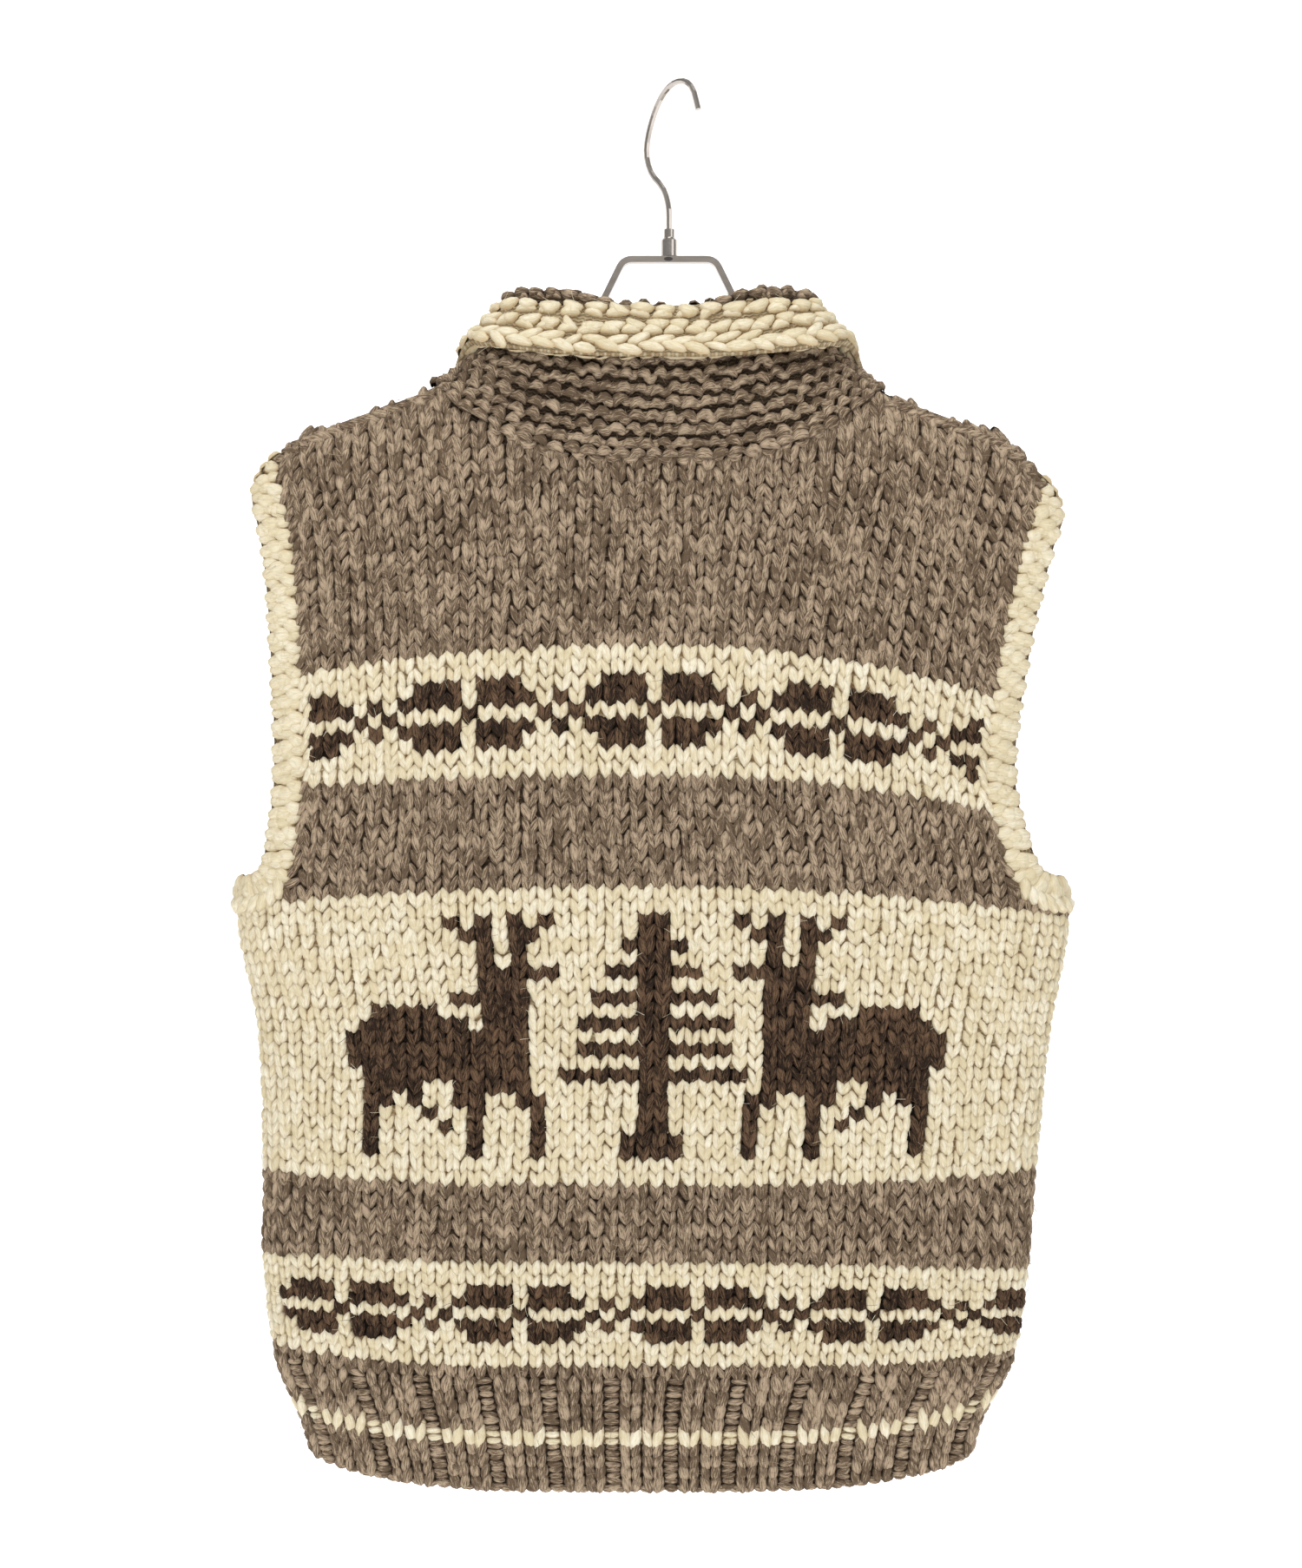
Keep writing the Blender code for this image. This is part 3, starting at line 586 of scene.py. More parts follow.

# %% [markdown]
# ## The knitted picture
# The pattern is charted one character to a stitch, as a knitter would: a small leaf repeat
# for the two narrow bands, a stag and a fir for the wide one. `#` is dark wool, and anything else in
# a band is cream. The stag is knitted twice, once mirrored.

# %% Charts
LEAF = (
    ".###.###....",
    "####.####.#.",
    "....#....#.#",
    "####.####.#.",
    ".###.###....",
)
STAG = (
    ".......#.#.#.#",
    "........##.##.",
    ".........#.#..",
    ".........#.#..",
    ".........#####",
    ".........###..",
    ".......#####..",
    "..####...###..",
    ".#######.###..",
    "############..",
    "############..",
    "############..",
    ".###########..",
    ".####..#####..",
    ".##.#..##..##.",
    ".#...#..#...#.",
    ".#....#.#...#.",
    ".#......#...#.",
    ".#......#...#.",
)
FIR = (
    ".....##.....",
    ".....##.....",
    "....####....",
    ".....##.....",
    "...######...",
    ".....##.....",
    "..########..",
    ".....##.....",
    ".##########.",
    ".....##.....",
    ".##########.",
    ".....##.....",
    "############",
    ".....##.....",
    ".....##.....",
    ".....##.....",
    ".....##.....",
    "....####....",
    "....####....",
)
Stripe = namedtuple("Stripe", "first last")
CREAM_STRIPES = (Stripe(4, 4), Stripe(10, 18), Stripe(25, 47), Stripe(56, 64))
Motif = namedtuple("Motif", "chart first_row first_column repeats mirrored back_only")
MOTIFS = (
    Motif(LEAF, 12, -25, 5, False, False),
    Motif(LEAF, 58, -28, 5, False, False),
    Motif(STAG, 27, -20, 1, False, True),
    Motif(STAG, 27, 5, 1, True, True),
    Motif(FIR, 27, -6, 1, False, True),
)


def paint_chart():
    """Wool of each stitch: an array for the back and the front, rows by columns."""
    chart = np.full((2, TOP_ROW, BODY_COLUMNS), BROWN)
    for stripe in CREAM_STRIPES:
        chart[:, stripe.first:stripe.last + 1] = CREAM
    for motif in MOTIFS:
        width = len(motif.chart[0])
        for n, line in enumerate(reversed(motif.chart)):
            for k in range(width * motif.repeats):
                column = motif.first_column + k + HALF_BODY
                mark = line[width - 1 - k % width] if motif.mirrored else line[k % width]
                if mark == "#" and 0 <= column < BODY_COLUMNS:
                    faces = slice(0, 1) if motif.back_only else slice(0, 2)
                    chart[faces, motif.first_row + n, column] = DARK
    return chart


CHART = paint_chart()
print("dark stitches on the back:", int((CHART[0] == DARK).sum()))

# %% [markdown]
# ## Backing cloth
# Behind the legs of the stitches lies the rest of the loops. One quad to a stitch stands for them,
# coloured mostly with the painted shade of its stitch's wool, the dark seen between two legs, so no
# gap shows daylight. A bmesh grid is cut to the pattern piece's outline, and extruding it gives the
# cloth its second side. That inside is the purl side of the knitting, whose small waves come from a
# bump in the material, with painted shade in their troughs.

# %% Backing of the back and the front
FRONT_DEPTH, REAR_DEPTH = -2.7, -5.6      # of the backing's two sides, from the wall's outer face
PURL_PATCH_SCALE, PURL_FUZZ_SCALE = 110.0, 900.0
PURL_BEND = 1.1                           # how far the purl waves bow inside one stitch
PURL_BUMP, PURL_BUMP_DEPTH = 0.9, 0.003
SMALLEST_CELL = 0.05                      # mm; a cell squeezed thinner is left out


def painted_shade_backing_material(wool):
    material, blank, shader = start_material(wool.name + "_backing")
    knit = blank.node("ShaderNodeUVMap", {"uv_map": "knit"})
    place = blank.node("ShaderNodeTexCoord", output="Object")
    parts = knit.node("ShaderNodeSeparateXYZ", None, {0: knit}, 0)
    rows = Signal(parts.tree, parts.socket.node.outputs[1])
    wave = blank.math("SINE", parts * (2 * math.pi))
    bumps = blank.math("SINE", rows * (4 * math.pi) + wave * PURL_BEND) * 0.5 + 0.5
    patches = place.noise(PURL_PATCH_SCALE, 4.0)
    fuzz = place.noise(PURL_FUZZ_SCALE, 3.0)
    # Painted shade: the backing is mostly its wool's shade colour, lighter only on the crests of the purl
    # waves.
    mix = ((patches - 0.5) * (1.2 * wool.patch_gain) + (fuzz - 0.5) * 0.6 + bumps * 0.5 + 0.1).limit()
    colour = mix.blend((*wool.shade, 1), (*wool.body, 1))
    height = bumps * 0.8 + fuzz * 0.35
    bump = blank.node("ShaderNodeBump", None,
                      {"Height": height, "Strength": PURL_BUMP, "Distance": PURL_BUMP_DEPTH}, "Normal")
    for name, signal in (("Base Color", colour), ("Normal", bump), ("Roughness", 0.84 + patches * 0.14)):
        material.node_tree.links.new(signal.socket, shader.inputs[name])
    shader.inputs["Specular IOR Level"].default_value = 0.2
    shader.inputs["Sheen Weight"].default_value = 0.1
    shader.inputs["Sheen Tint"].default_value = (*wool.light, 1)
    return material


backing_materials = [painted_shade_backing_material(wool) for wool in WOOLS]


def knitted_slab(name, sides, wool_of, keep):
    """Backing cloth with two sides. sides has shape (2, columns + 1, rows + 1, 3), outer side first."""
    columns, rows = sides.shape[1] - 1, sides.shape[2] - 1
    bm = bmesh.new()
    bmesh.ops.create_grid(bm, x_segments=columns, y_segments=rows, size=0.5)
    knit = bm.loops.layers.uv.new("knit")
    for vert in bm.verts:
        vert.co = Vector((round((vert.co.x + 0.5) * columns), round((vert.co.y + 0.5) * rows), 0))
    doomed = []
    for cell in bm.faces:
        column, row = (int(value) for value in cell.calc_center_median().xy)
        cell.material_index = int(wool_of[column, row])
        if not keep[column, row]:
            doomed.append(cell)
        for loop in cell.loops:
            loop[knit].uv = loop.vert.co.xy
    bmesh.ops.delete(bm, geom=doomed, context="FACES")
    grown = bmesh.ops.extrude_face_region(bm, geom=bm.faces[:], use_keep_orig=True)["geom"]
    grown_verts = [item for item in grown if isinstance(item, bmesh.types.BMVert)]
    bmesh.ops.translate(bm, vec=(0, 0, 1), verts=grown_verts)
    for vert in bm.verts:
        column, row, side = (round(value) for value in vert.co)
        vert.co = Vector(sides[side, column, row]) * MM
    bmesh.ops.recalc_face_normals(bm, faces=bm.faces[:])
    if bm.calc_volume(signed=True) < 0:
        bmesh.ops.reverse_faces(bm, faces=bm.faces[:])
    return add_mesh(name, bm, backing_materials)


def cell_sizes(grid):
    """Height and width of each cell of a grid of points."""
    tall = np.linalg.norm(grid[:, 1:] - grid[:, :-1], axis=-1)
    wide = np.linalg.norm(grid[1:] - grid[:-1], axis=-1)
    return np.maximum(tall[1:], tall[:-1]), np.maximum(wide[:, 1:], wide[:, :-1])


def cloth_area(grid):
    """Area in square metres of a grid of points in mm."""
    tall, wide = grid[:-1, 1:] - grid[:-1, :-1], grid[1:, :-1] - grid[:-1, :-1]
    return float(np.linalg.norm(np.cross(tall, wide), axis=-1).sum()) * MM**2


def backing(name, face):
    """The back's (-1) or the front's (1) backing cloth."""
    columns, rows = np.arange(BODY_COLUMNS + 1), np.arange(TOP_ROW + 1.0)
    across, row = np.meshgrid(columns / HALF_BODY - 1, rows, indexing="ij")
    z = course_height(row, across)
    edge = armhole_edge(z)
    across = np.where(z > UNDERARM_Z, np.clip(across, -edge, edge), across)
    z = np.minimum(z, top_height(face, across))
    sides = np.stack([wall(face, across, z, depth) for depth in (FRONT_DEPTH, REAR_DEPTH)])
    tall, wide = cell_sizes(sides[0])
    keep = (tall > SMALLEST_CELL) & (wide > SMALLEST_CELL)
    cloth = knitted_slab(name, sides, CHART[0 if face < 0 else 1].T, keep)
    area = cloth_area(sides[0])
    print(name, "cloth", round(area, 3), "square metres")
    return cloth, area


back_cloth, back_area = backing("back_cloth", -1)
front_cloth, front_area = backing("front_cloth", 1)

# %% [markdown]
# ## Stocking stitch
# Every stitch of the body above the ribbing gets its two legs. They lean apart towards the top, and
# each is longer than its course is high, so it tucks under the V above it. Small random changes of
# size, place and lean keep the fabric from looking machine-made.

# %% Stitches of the body
LEG_HALF_WIDTH = 0.305        # of a column
LEG_HALF_LENGTH = 0.80        # of a course
LEG_HEIGHT = 3.5
LEG_SET = 0.245               # of a column, from the stitch's middle
WANDER = 0.08                 # of a column, how far a column of stitches strays from its line
WANDER_PER_ROW, WANDER_PER_COLUMN = 0.47, 0.7
LEG_LEAN = math.radians(17)
LEG_BEND = 0.28
LEG_SINK = -2.4
EDGE_MARGIN = 0.45            # of a column, kept free for the selvedge
NECK_MARGIN, SHOULDER_MARGIN = 1.0, -4.0      # mm from the top of the cloth to the last stitches
Jitter = namedtuple("Jitter", "across z width length lean lift")
LEG_JITTER = Jitter(0.04, 0.6, 0.10, 0.07, 0.10, 0.3)     # standard deviations
NECK_EDGE_ACROSS = NECK_COLUMN / NOTCH_COLUMN * ARMHOLE_COLUMN / HALF_COLUMNS


def body_stitches(face):
    """Place, colour and size of every stocking stitch of one face."""
    rows, columns = np.meshgrid(np.arange(RIB_ROWS, TOP_ROW), np.arange(BODY_COLUMNS), indexing="ij")
    rows, columns = rows.ravel(), columns.ravel()
    across = (columns + 0.5 - HALF_BODY) / HALF_BODY
    z = course_height(rows + 0.5, across)
    inside = np.abs(across) < armhole_edge(z) - EDGE_MARGIN / HALF_BODY
    on_neck = np.abs(across) < NECK_EDGE_ACROSS
    below = z < top_height(face, across) + np.where(on_neck, NECK_MARGIN, SHOULDER_MARGIN)
    keep = ((z < UNDERARM_Z) | inside) & below
    colour = CHART[0 if face < 0 else 1, rows, columns]
    return rows[keep], across[keep], z[keep], colour[keep]


def knit_body(face):
    """Gather the legs of one face by wool."""
    rows, across, z, colour = body_stitches(face)
    course = course_height(rows + 1.0, across) - course_height(rows + 0.0, across)
    stray = WANDER * np.sin(rows * WANDER_PER_ROW + across * HALF_BODY * WANDER_PER_COLUMN)
    gathered = [Grains() for _ in WOOLS]
    for hand in (-1, 1):
        jitter = Jitter(*(RANDOM.normal(0, 1, (len(LEG_JITTER), len(z))) * np.array(LEG_JITTER)[:, None]))
        leg_across = across + (stray + hand * LEG_SET + jitter.across) / HALF_BODY
        axes, spread, climb = cloth_axes(face, leg_across, z + jitter.z)
        column = spread / HALF_BODY
        for wool in (BROWN, CREAM, DARK):
            pick = colour == wool
            gathered[wool].add(
                tuple(part[pick] for part in axes),
                (LEG_HALF_WIDTH * column * (1 + jitter.width))[pick],
                (LEG_HALF_LENGTH * course * climb * (1 + jitter.length))[pick],
                LEG_HEIGHT,
                (-face * hand * LEG_LEAN + jitter.lean)[pick],
                face * hand * LEG_BEND,
                (LEG_SINK + jitter.lift)[pick])
    return gathered


# %% [markdown]
# ## Ribbed hem
# The hem is knitted two plain, two purl. It pulls together, so the purl stitches sink into narrow
# valleys where only small cross bumps show, and the plain ones stand up as pairs of tall ribs. The
# ribs are a little fewer than the body's stitches, as a knitter adds some above the ribbing.

# %% Ribs
RIBS = 12                     # across one face
RIB_SHARE = 0.75              # of a rib and its valley, the rib's part
RIB_LEGS = (-3, -1, 1, 3)     # eighths of the rib's width, from its middle
PURL_BUMPS = 2                # to a course
RIB_LEG_HALF_WIDTH = 0.27     # of the rib
RIB_LEG_LENGTHS = {BROWN: 0.86, CREAM: 1.12}      # half length in courses
RIB_LEG_HEIGHT, RIB_LEG_LEAN, RIB_LEG_BEND = 3.6, math.radians(11), 0.3
PURL_HALF_WIDTH, PURL_HALF_LENGTH, PURL_HEIGHT = 2.7, 1.05, 2.8       # the length in valleys
RIB_LIFT, VALLEY_LIFT = 0.6, 0.3      # mm above the sunk stitches of the body
CAST_ON_ROW = 0.12            # courses above the edge
CAST_ON_HALF_WIDTH, CAST_ON_HALF_LENGTH, CAST_ON_HEIGHT = 2.8, 1.25, 3.0      # the length in columns
CAST_ON_BEND, CAST_ON_LIFT = 0.6, -0.3


def knit_ribs(face):
    """Grains of the ribbing of one face, by wool."""
    gathered = [Grains() for _ in WOOLS]
    for row in range(RIB_ROWS):
        wool = CREAM if CHART[0, row, 0] == CREAM else BROWN
        for n, eighth in enumerate(RIB_LEGS):
            middle = (np.arange(RIBS + 1) - RIBS / 2) * 2 / RIBS
            across = middle + eighth / 8 * RIB_SHARE * 2 / RIBS
            across = across[np.abs(across) < 1]
            hand = 1 if n % 2 else -1
            noise = RANDOM.normal(0, 1, (3, len(across)))
            z = course_height(row + 0.5, across)
            axes, spread, climb = cloth_axes(face, across, z)
            course = course_height(row + 1.0, across) - course_height(row + 0.0, across)
            gathered[wool].add(axes, spread * RIB_SHARE / RIBS * (RIB_LEG_HALF_WIDTH + 0.02 * noise[0]),
                               course * climb * (RIB_LEG_LENGTHS[wool] + 0.05 * noise[1]), RIB_LEG_HEIGHT,
                               -face * hand * RIB_LEG_LEAN + 0.05 * noise[2],
                               face * hand * RIB_LEG_BEND, LEG_SINK + RIB_LIFT)
        for bump in range(PURL_BUMPS):
            across = (np.arange(RIBS) + 0.5 - RIBS / 2) * 2 / RIBS
            noise = RANDOM.normal(0, 1, (3, len(across)))
            z = course_height(row + (bump + 0.5) / PURL_BUMPS, across)
            axes, spread, climb = cloth_axes(face, across, z)
            gathered[wool].add(axes, PURL_HALF_WIDTH + 0.2 * noise[0],
                               spread * (1 - RIB_SHARE) / RIBS * (PURL_HALF_LENGTH + 0.1 * noise[1]),
                               PURL_HEIGHT, math.pi / 2 + 0.12 * noise[2], 0.5 * (1 - 2 * bump),
                               LEG_SINK + VALLEY_LIFT)
    return gathered


def knit_cast_on(face, grains):
    """The lumpy cast-on edge under the ribs."""
    across = np.linspace(-1, 1, BODY_COLUMNS + 1)[:-1] + 0.5 / BODY_COLUMNS
    noise = RANDOM.normal(0, 1, (2, len(across)))
    axes, spread, _ = cloth_axes(face, across, course_height(CAST_ON_ROW, across))
    grains.add(axes, CAST_ON_HALF_WIDTH + 0.2 * noise[0], spread / BODY_COLUMNS * CAST_ON_HALF_LENGTH,
               CAST_ON_HEIGHT, math.pi / 2 + 0.2 + 0.1 * noise[1], CAST_ON_BEND, LEG_SINK + CAST_ON_LIFT)


# %% [markdown]
# ## Edges of the body
# The edge stitches of the yoke twist into a thick cord beside each armhole. Front and back are joined
# along the shoulders with a rolled seam, and the stitches cast off under the arm make a short pale
# rope. All three are the same grain, laid slantwise along a line.

# %% Path round an armhole
ARMHOLE_SAMPLES, NOTCH_SAMPLES = 120, 24


def armhole_path(hand):
    """Points of the body's edge in the flat cloth: arc and z from the side seam up to the shoulder,
    the direction into the opening at each, and the run along the edge in mm."""
    turn = np.linspace(0, math.pi / 2, NOTCH_SAMPLES)
    notch = NOTCH_COLUMN / HALF_COLUMNS * HALF_ARC
    edge = ARMHOLE_COLUMN / HALF_COLUMNS * HALF_ARC
    top = float(ridge_at(hand * edge / HALF_ARC))
    upright = np.linspace(UNDERARM_Z + UNDERARM_RADIUS, top, ARMHOLE_SAMPLES)[1:]
    arc = np.concatenate(([HALF_ARC], notch - UNDERARM_RADIUS * np.sin(turn), np.full(len(upright), edge)))
    z = np.concatenate(([UNDERARM_Z], UNDERARM_Z + UNDERARM_RADIUS * (1 - np.cos(turn)), upright))
    into = np.concatenate(([[0, 1]], np.stack([np.sin(turn), np.cos(turn)], axis=1),
                           np.tile([1, 0], (len(upright), 1))))
    run = np.concatenate(([0], np.cumsum(np.hypot(np.diff(arc), np.diff(z)))))
    return arc, z, into, run, top


def on_armhole(face, hand, along, width):
    """Axes at distances along an armhole's edge and into the opening, and the lean of its ridges."""
    arc, z, into, run, edge_top = armhole_path(hand)
    spot_arc, spot_z = np.interp(along, run, arc), np.interp(along, run, z)
    into_arc, into_z = np.interp(along, run, into[:, 0]), np.interp(along, run, into[:, 1])
    across = hand * np.minimum((spot_arc + width * into_arc) / HALF_ARC, 1.0)
    height = spot_z + width * into_z
    climb = np.clip((height - UNDERARM_Z) / (edge_top - UNDERARM_Z), 0, 1)
    height = height + (ridge_at(across) - edge_top) * climb
    axes, _, _ = cloth_axes(face, across, height)
    lean = np.arctan2(-face * hand * into_arc, into_z)
    return axes, lean, across, height


# %% Selvedge cords, shoulder seams and the underarm rope
SELVEDGE_PITCH = 6.5
SELVEDGE_START, SELVEDGE_END = 40.0, 6.0      # mm kept free at the underarm and at the shoulder
SELVEDGE_INSET, SELVEDGE_SWING = 3.2, 1.3     # mm from the body's edge, and to either side of that
SELVEDGE_GRAIN = (3.0, 7.2, 3.9)              # half width, half length and height, as below
SELVEDGE_SLANT, SELVEDGE_BEND, SELVEDGE_LIFT = math.radians(24), 0.4, 0.3
Cord = namedtuple("Cord", "drop lift height slant")
SHOULDER_CORDS = (Cord(9.0, 0.2, 4.6, 26), Cord(1.8, -3.3, 2.8, 8))
SHOULDER_SAMPLES, SHOULDER_START, SHOULDER_END, SHOULDER_PITCH = 60, 3.0, 2.0, 7.75
SHOULDER_HALF_WIDTH, SHOULDER_HALF_LENGTH, SHOULDER_BEND = 3.4, 8.2, 0.4
SHOULDER_LEAN = math.radians(20)
UNDERARM_RUN, UNDERARM_PITCH, UNDERARM_WIDTH = (2.0, 44.0), 6.4, 0.5
UNDERARM_GRAIN = (4.4, 8.6, 6.0)
UNDERARM_SLANT, UNDERARM_BEND, UNDERARM_LIFT = math.radians(40), 0.6, 0.8


def knit_selvedge(face, hand, gathered):
    """A twisted cord on the body's side of an armhole, in the wool of its course."""
    run_end = armhole_path(hand)[3][-1]
    along = np.arange(SELVEDGE_START, run_end - SELVEDGE_END, SELVEDGE_PITCH)
    side = np.where(np.arange(len(along)) % 2, -1.0, 1.0)
    axes, lean, across, height = on_armhole(face, hand, along, side * SELVEDGE_SWING - SELVEDGE_INSET)
    rows = np.array([np.searchsorted(course_height(np.arange(TOP_ROW), a), z) - 1
                     for a, z in zip(across, height)])
    wool = np.where(CHART[0, np.clip(rows, 0, TOP_ROW - 1), 0] == BROWN, BROWN, CREAM)
    noise = RANDOM.normal(0, 1, (2, len(along)))
    slant = lean + math.pi / 2 + hand * face * SELVEDGE_SLANT + 0.1 * noise[0]
    half_width, half_length, grain_height = SELVEDGE_GRAIN
    for kind in (BROWN, CREAM):
        pick = wool == kind
        if pick.any():
            gathered[kind].add(tuple(part[pick] for part in axes), half_width,
                               (half_length + 0.5 * noise[1])[pick], grain_height,
                               slant[pick], SELVEDGE_BEND, LEG_SINK + SELVEDGE_LIFT)


def knit_shoulder(face, hand, gathered):
    """The rolled seam below the shoulder line."""
    fine = np.linspace(NECK_EDGE_ACROSS, ARMHOLE_COLUMN / HALF_COLUMNS, SHOULDER_SAMPLES) * hand
    for cord in SHOULDER_CORDS:
        z = ridge_at(fine) - cord.drop
        spots = wall(face, fine, z)
        run = np.concatenate(([0], np.cumsum(np.linalg.norm(np.diff(spots, axis=0), axis=1))))
        at = np.arange(SHOULDER_START, run[-1] - SHOULDER_END, SHOULDER_PITCH)
        across = np.interp(at, run, fine)
        noise = RANDOM.normal(0, 1, (2, len(at)))
        axes, _, _ = cloth_axes(face, across, np.interp(at, run, z))
        lean = face * hand * (math.radians(cord.slant) - math.pi / 2 - SHOULDER_LEAN) + 0.1 * noise[0]
        gathered[BROWN].add(axes, SHOULDER_HALF_WIDTH, SHOULDER_HALF_LENGTH + 0.6 * noise[1], cord.height,
                            lean, SHOULDER_BEND, LEG_SINK + cord.lift)


def knit_underarm(face, hand, gathered):
    """The short rope of cast-off stitches under the arm."""
    along = np.arange(*UNDERARM_RUN, UNDERARM_PITCH)
    axes, lean, _, _ = on_armhole(face, hand, along, UNDERARM_WIDTH)
    noise = RANDOM.normal(0, 1, len(along))
    half_width, half_length, height = UNDERARM_GRAIN
    gathered[CREAM].add(axes, half_width, half_length + 0.4 * noise, height,
                        lean + math.pi / 2 - hand * face * UNDERARM_SLANT,
                        UNDERARM_BEND, LEG_SINK + UNDERARM_LIFT)


stitch_pieces = {}
for side_name, face in (("back", -1), ("front", 1)):
    legs, ribs = knit_body(face), knit_ribs(face)
    knit_cast_on(face, ribs[BROWN])
    for hand in (-1, 1):
        knit_selvedge(face, hand, ribs)
        knit_shoulder(face, hand, ribs)
        knit_underarm(face, hand, ribs)
    for wool in (BROWN, CREAM, DARK):
        legs[wool].rows += ribs[wool].rows
    stitch_pieces[side_name] = [legs[wool].build(f"{side_name}_{WOOLS[wool].name}", wool_materials[wool])
                                for wool in (BROWN, CREAM, DARK)]

# %% [markdown]
# ## Armhole bands
# Each armhole is edged with a pale garter-stitch band. Knitted sideways, its ridges run across the
# band like the rungs of a ladder, and between them lies a lower row. A backing cloth follows the
# CAD band. Three plump bumps make a rung, and three flatter ones the row behind it.

# %% Armhole bands
ARM_BAND_WIDTH = 21.0
RUNG_PITCH = 14.6
Bump = namedtuple("Bump", "width along half_width half_length height slant bend lift")
RUNG = (
    Bump(0.16, 0.8, 5.2, 6.8, 4.9, -12, 0.8, 0.3), Bump(0.45, -0.2, 5.3, 7.0, 5.0, 2, 1.0, 0.5),
    Bump(0.70, 0.8, 5.2, 6.8, 4.6, 12, 0.8, 0.0),
    Bump(0.16, 8.1, 4.8, 6.6, 4.4, 8, -0.8, -0.4), Bump(0.43, 7.3, 4.9, 6.8, 4.4, 0, -0.8, -0.3),
    Bump(0.68, 8.0, 4.8, 6.6, 4.1, -8, -0.8, -0.7),
)
RUNG_START = 4.0
BAND_STATIONS, BAND_WIDTHS = 96, 4


def band_cloth(name, hand):
    """Backing cloth of one armhole band, from the back's underarm over the shoulder to the front's."""
    halves = []
    for face in (-1, 1):
        along = np.linspace(0, armhole_path(hand)[3][-1], BAND_STATIONS + 1)
        rows = []
        for w in range(BAND_WIDTHS + 1):
            width = SEAM_GAP + (ARM_BAND_WIDTH - SEAM_GAP) * w / BAND_WIDTHS
            _, _, across, height = on_armhole(face, hand, along, width)
            rows.append([wall(face, across, height, depth) for depth in (FRONT_DEPTH, REAR_DEPTH)])
        halves.append(np.array(rows).transpose(1, 2, 0, 3))
    top = (halves[0][:, -1:] + halves[1][:, -1:]) / 2
    sides = np.concatenate((halves[0][:, :-1], top, halves[1][:, -2::-1]), axis=1)
    cells = (sides.shape[1] - 1, sides.shape[2] - 1)
    return knitted_slab(name, sides, np.full(cells, CREAM), np.full(cells, True)), cloth_area(sides[0])


def knit_band(name, hand):
    """Rungs of one armhole band."""
    grains = Grains()
    for face in (-1, 1):
        run_end = armhole_path(hand)[3][-1]
        start = np.arange(RUNG_START, run_end, RUNG_PITCH)
        for bump in RUNG:
            noise = RANDOM.normal(0, 1, (3, len(start)))
            along = np.minimum(start + bump.along + 0.6 * noise[0], run_end)
            axes, lean, _, _ = on_armhole(face, hand, along, bump.width * ARM_BAND_WIDTH)
            turn = -face * hand
            grains.add(axes, bump.half_width * (1 + 0.06 * noise[1]), bump.half_length, bump.height,
                       lean + turn * math.radians(bump.slant) + 0.08 * noise[2], turn * bump.bend,
                       LEG_SINK + bump.lift)
    return grains.build(name, edge_material)


arm_bands = []
for name, hand in (("left", -1), ("right", 1)):
    cloth, area = band_cloth(f"armhole_cloth_{name}", hand)
    arm_bands.append((cloth, knit_band(f"armhole_rungs_{name}", hand), area))

# %% [markdown]
# ## Shawl collar
# The collar is one long strip of garter stitch, sewn to the neckline, standing up and folded over on
# itself with a pale edge. Seen from behind, the brown stand shows below the pale fold. The CAD
# collar's rule is repeated here: each section starts at the neckline, curves up to the fold line and
# falls to the free edge. Ridges of bumps then follow the strip lengthwise.

# %% Collar sizes
COLLAR_FOLD_RADIUS = 5.6
STAND_RIDGES, EDGE_RIDGES, FOLD_STEPS = 7, 3, 4
STAND_STEPS, EDGE_STEPS = 2 * STAND_RIDGES + 2, 2 * EDGE_RIDGES + 1
CollarRow = namedtuple("CollarRow", "part fold_x fold_y fold_z edge_x edge_y edge_z")
COLLAR_ROWS = (
    CollarRow(0.00, 0, -25, -150, 0, -40, -178), CollarRow(0.10, 25, -25, -149, 30, -40, -178),
    CollarRow(0.25, 62, -24, -141, 74, -38, -175), CollarRow(0.40, 87, -15, -142, 106, -30, -171),
    CollarRow(0.50, 95, 0, -149, 119, -8, -171), CollarRow(0.55, 98, 19, -176, 131, 22, -190),
    CollarRow(0.60, 91, 36, -212, 128, 39, -234), CollarRow(0.70, 68, 44, -258, 104, 46, -286),
    CollarRow(0.80, 40, 45, -299, 75, 47, -328), CollarRow(0.90, 15, 46, -340, 46, 48, -372),
    CollarRow(1.00, 0, 46, -372, 0, 48, -419),
)
COLLAR_SECTIONS = 121


def neckline_point(part, grow):
    """Point of the neckline; part counts columns from the centre back, left below 0."""
    hand, count = (-1 if part < 0 else 1), abs(part)
    face = -1 if count <= NECK_COLUMN else 1
    column = count if face < 0 else 2 * NECK_COLUMN - count
    across = hand * column / NOTCH_COLUMN * ARMHOLE_COLUMN / HALF_COLUMNS
    z = float(top_height(face, across))
    return Vector(wall(face, across, z, grow))


def collar_line(part, which):
    """Point of the collar's fold line or of its free edge."""
    at, hand = abs(part) / (2 * NECK_COLUMN), (-1 if part < 0 else 1)
    x, y, z = (float(glide(COLLAR_ROWS, at, f"{which}_{axis}")) for axis in "xyz")
    return Vector((float(glide(LEVELS, z, "centre")) + hand * x, MID_Y + y, z))


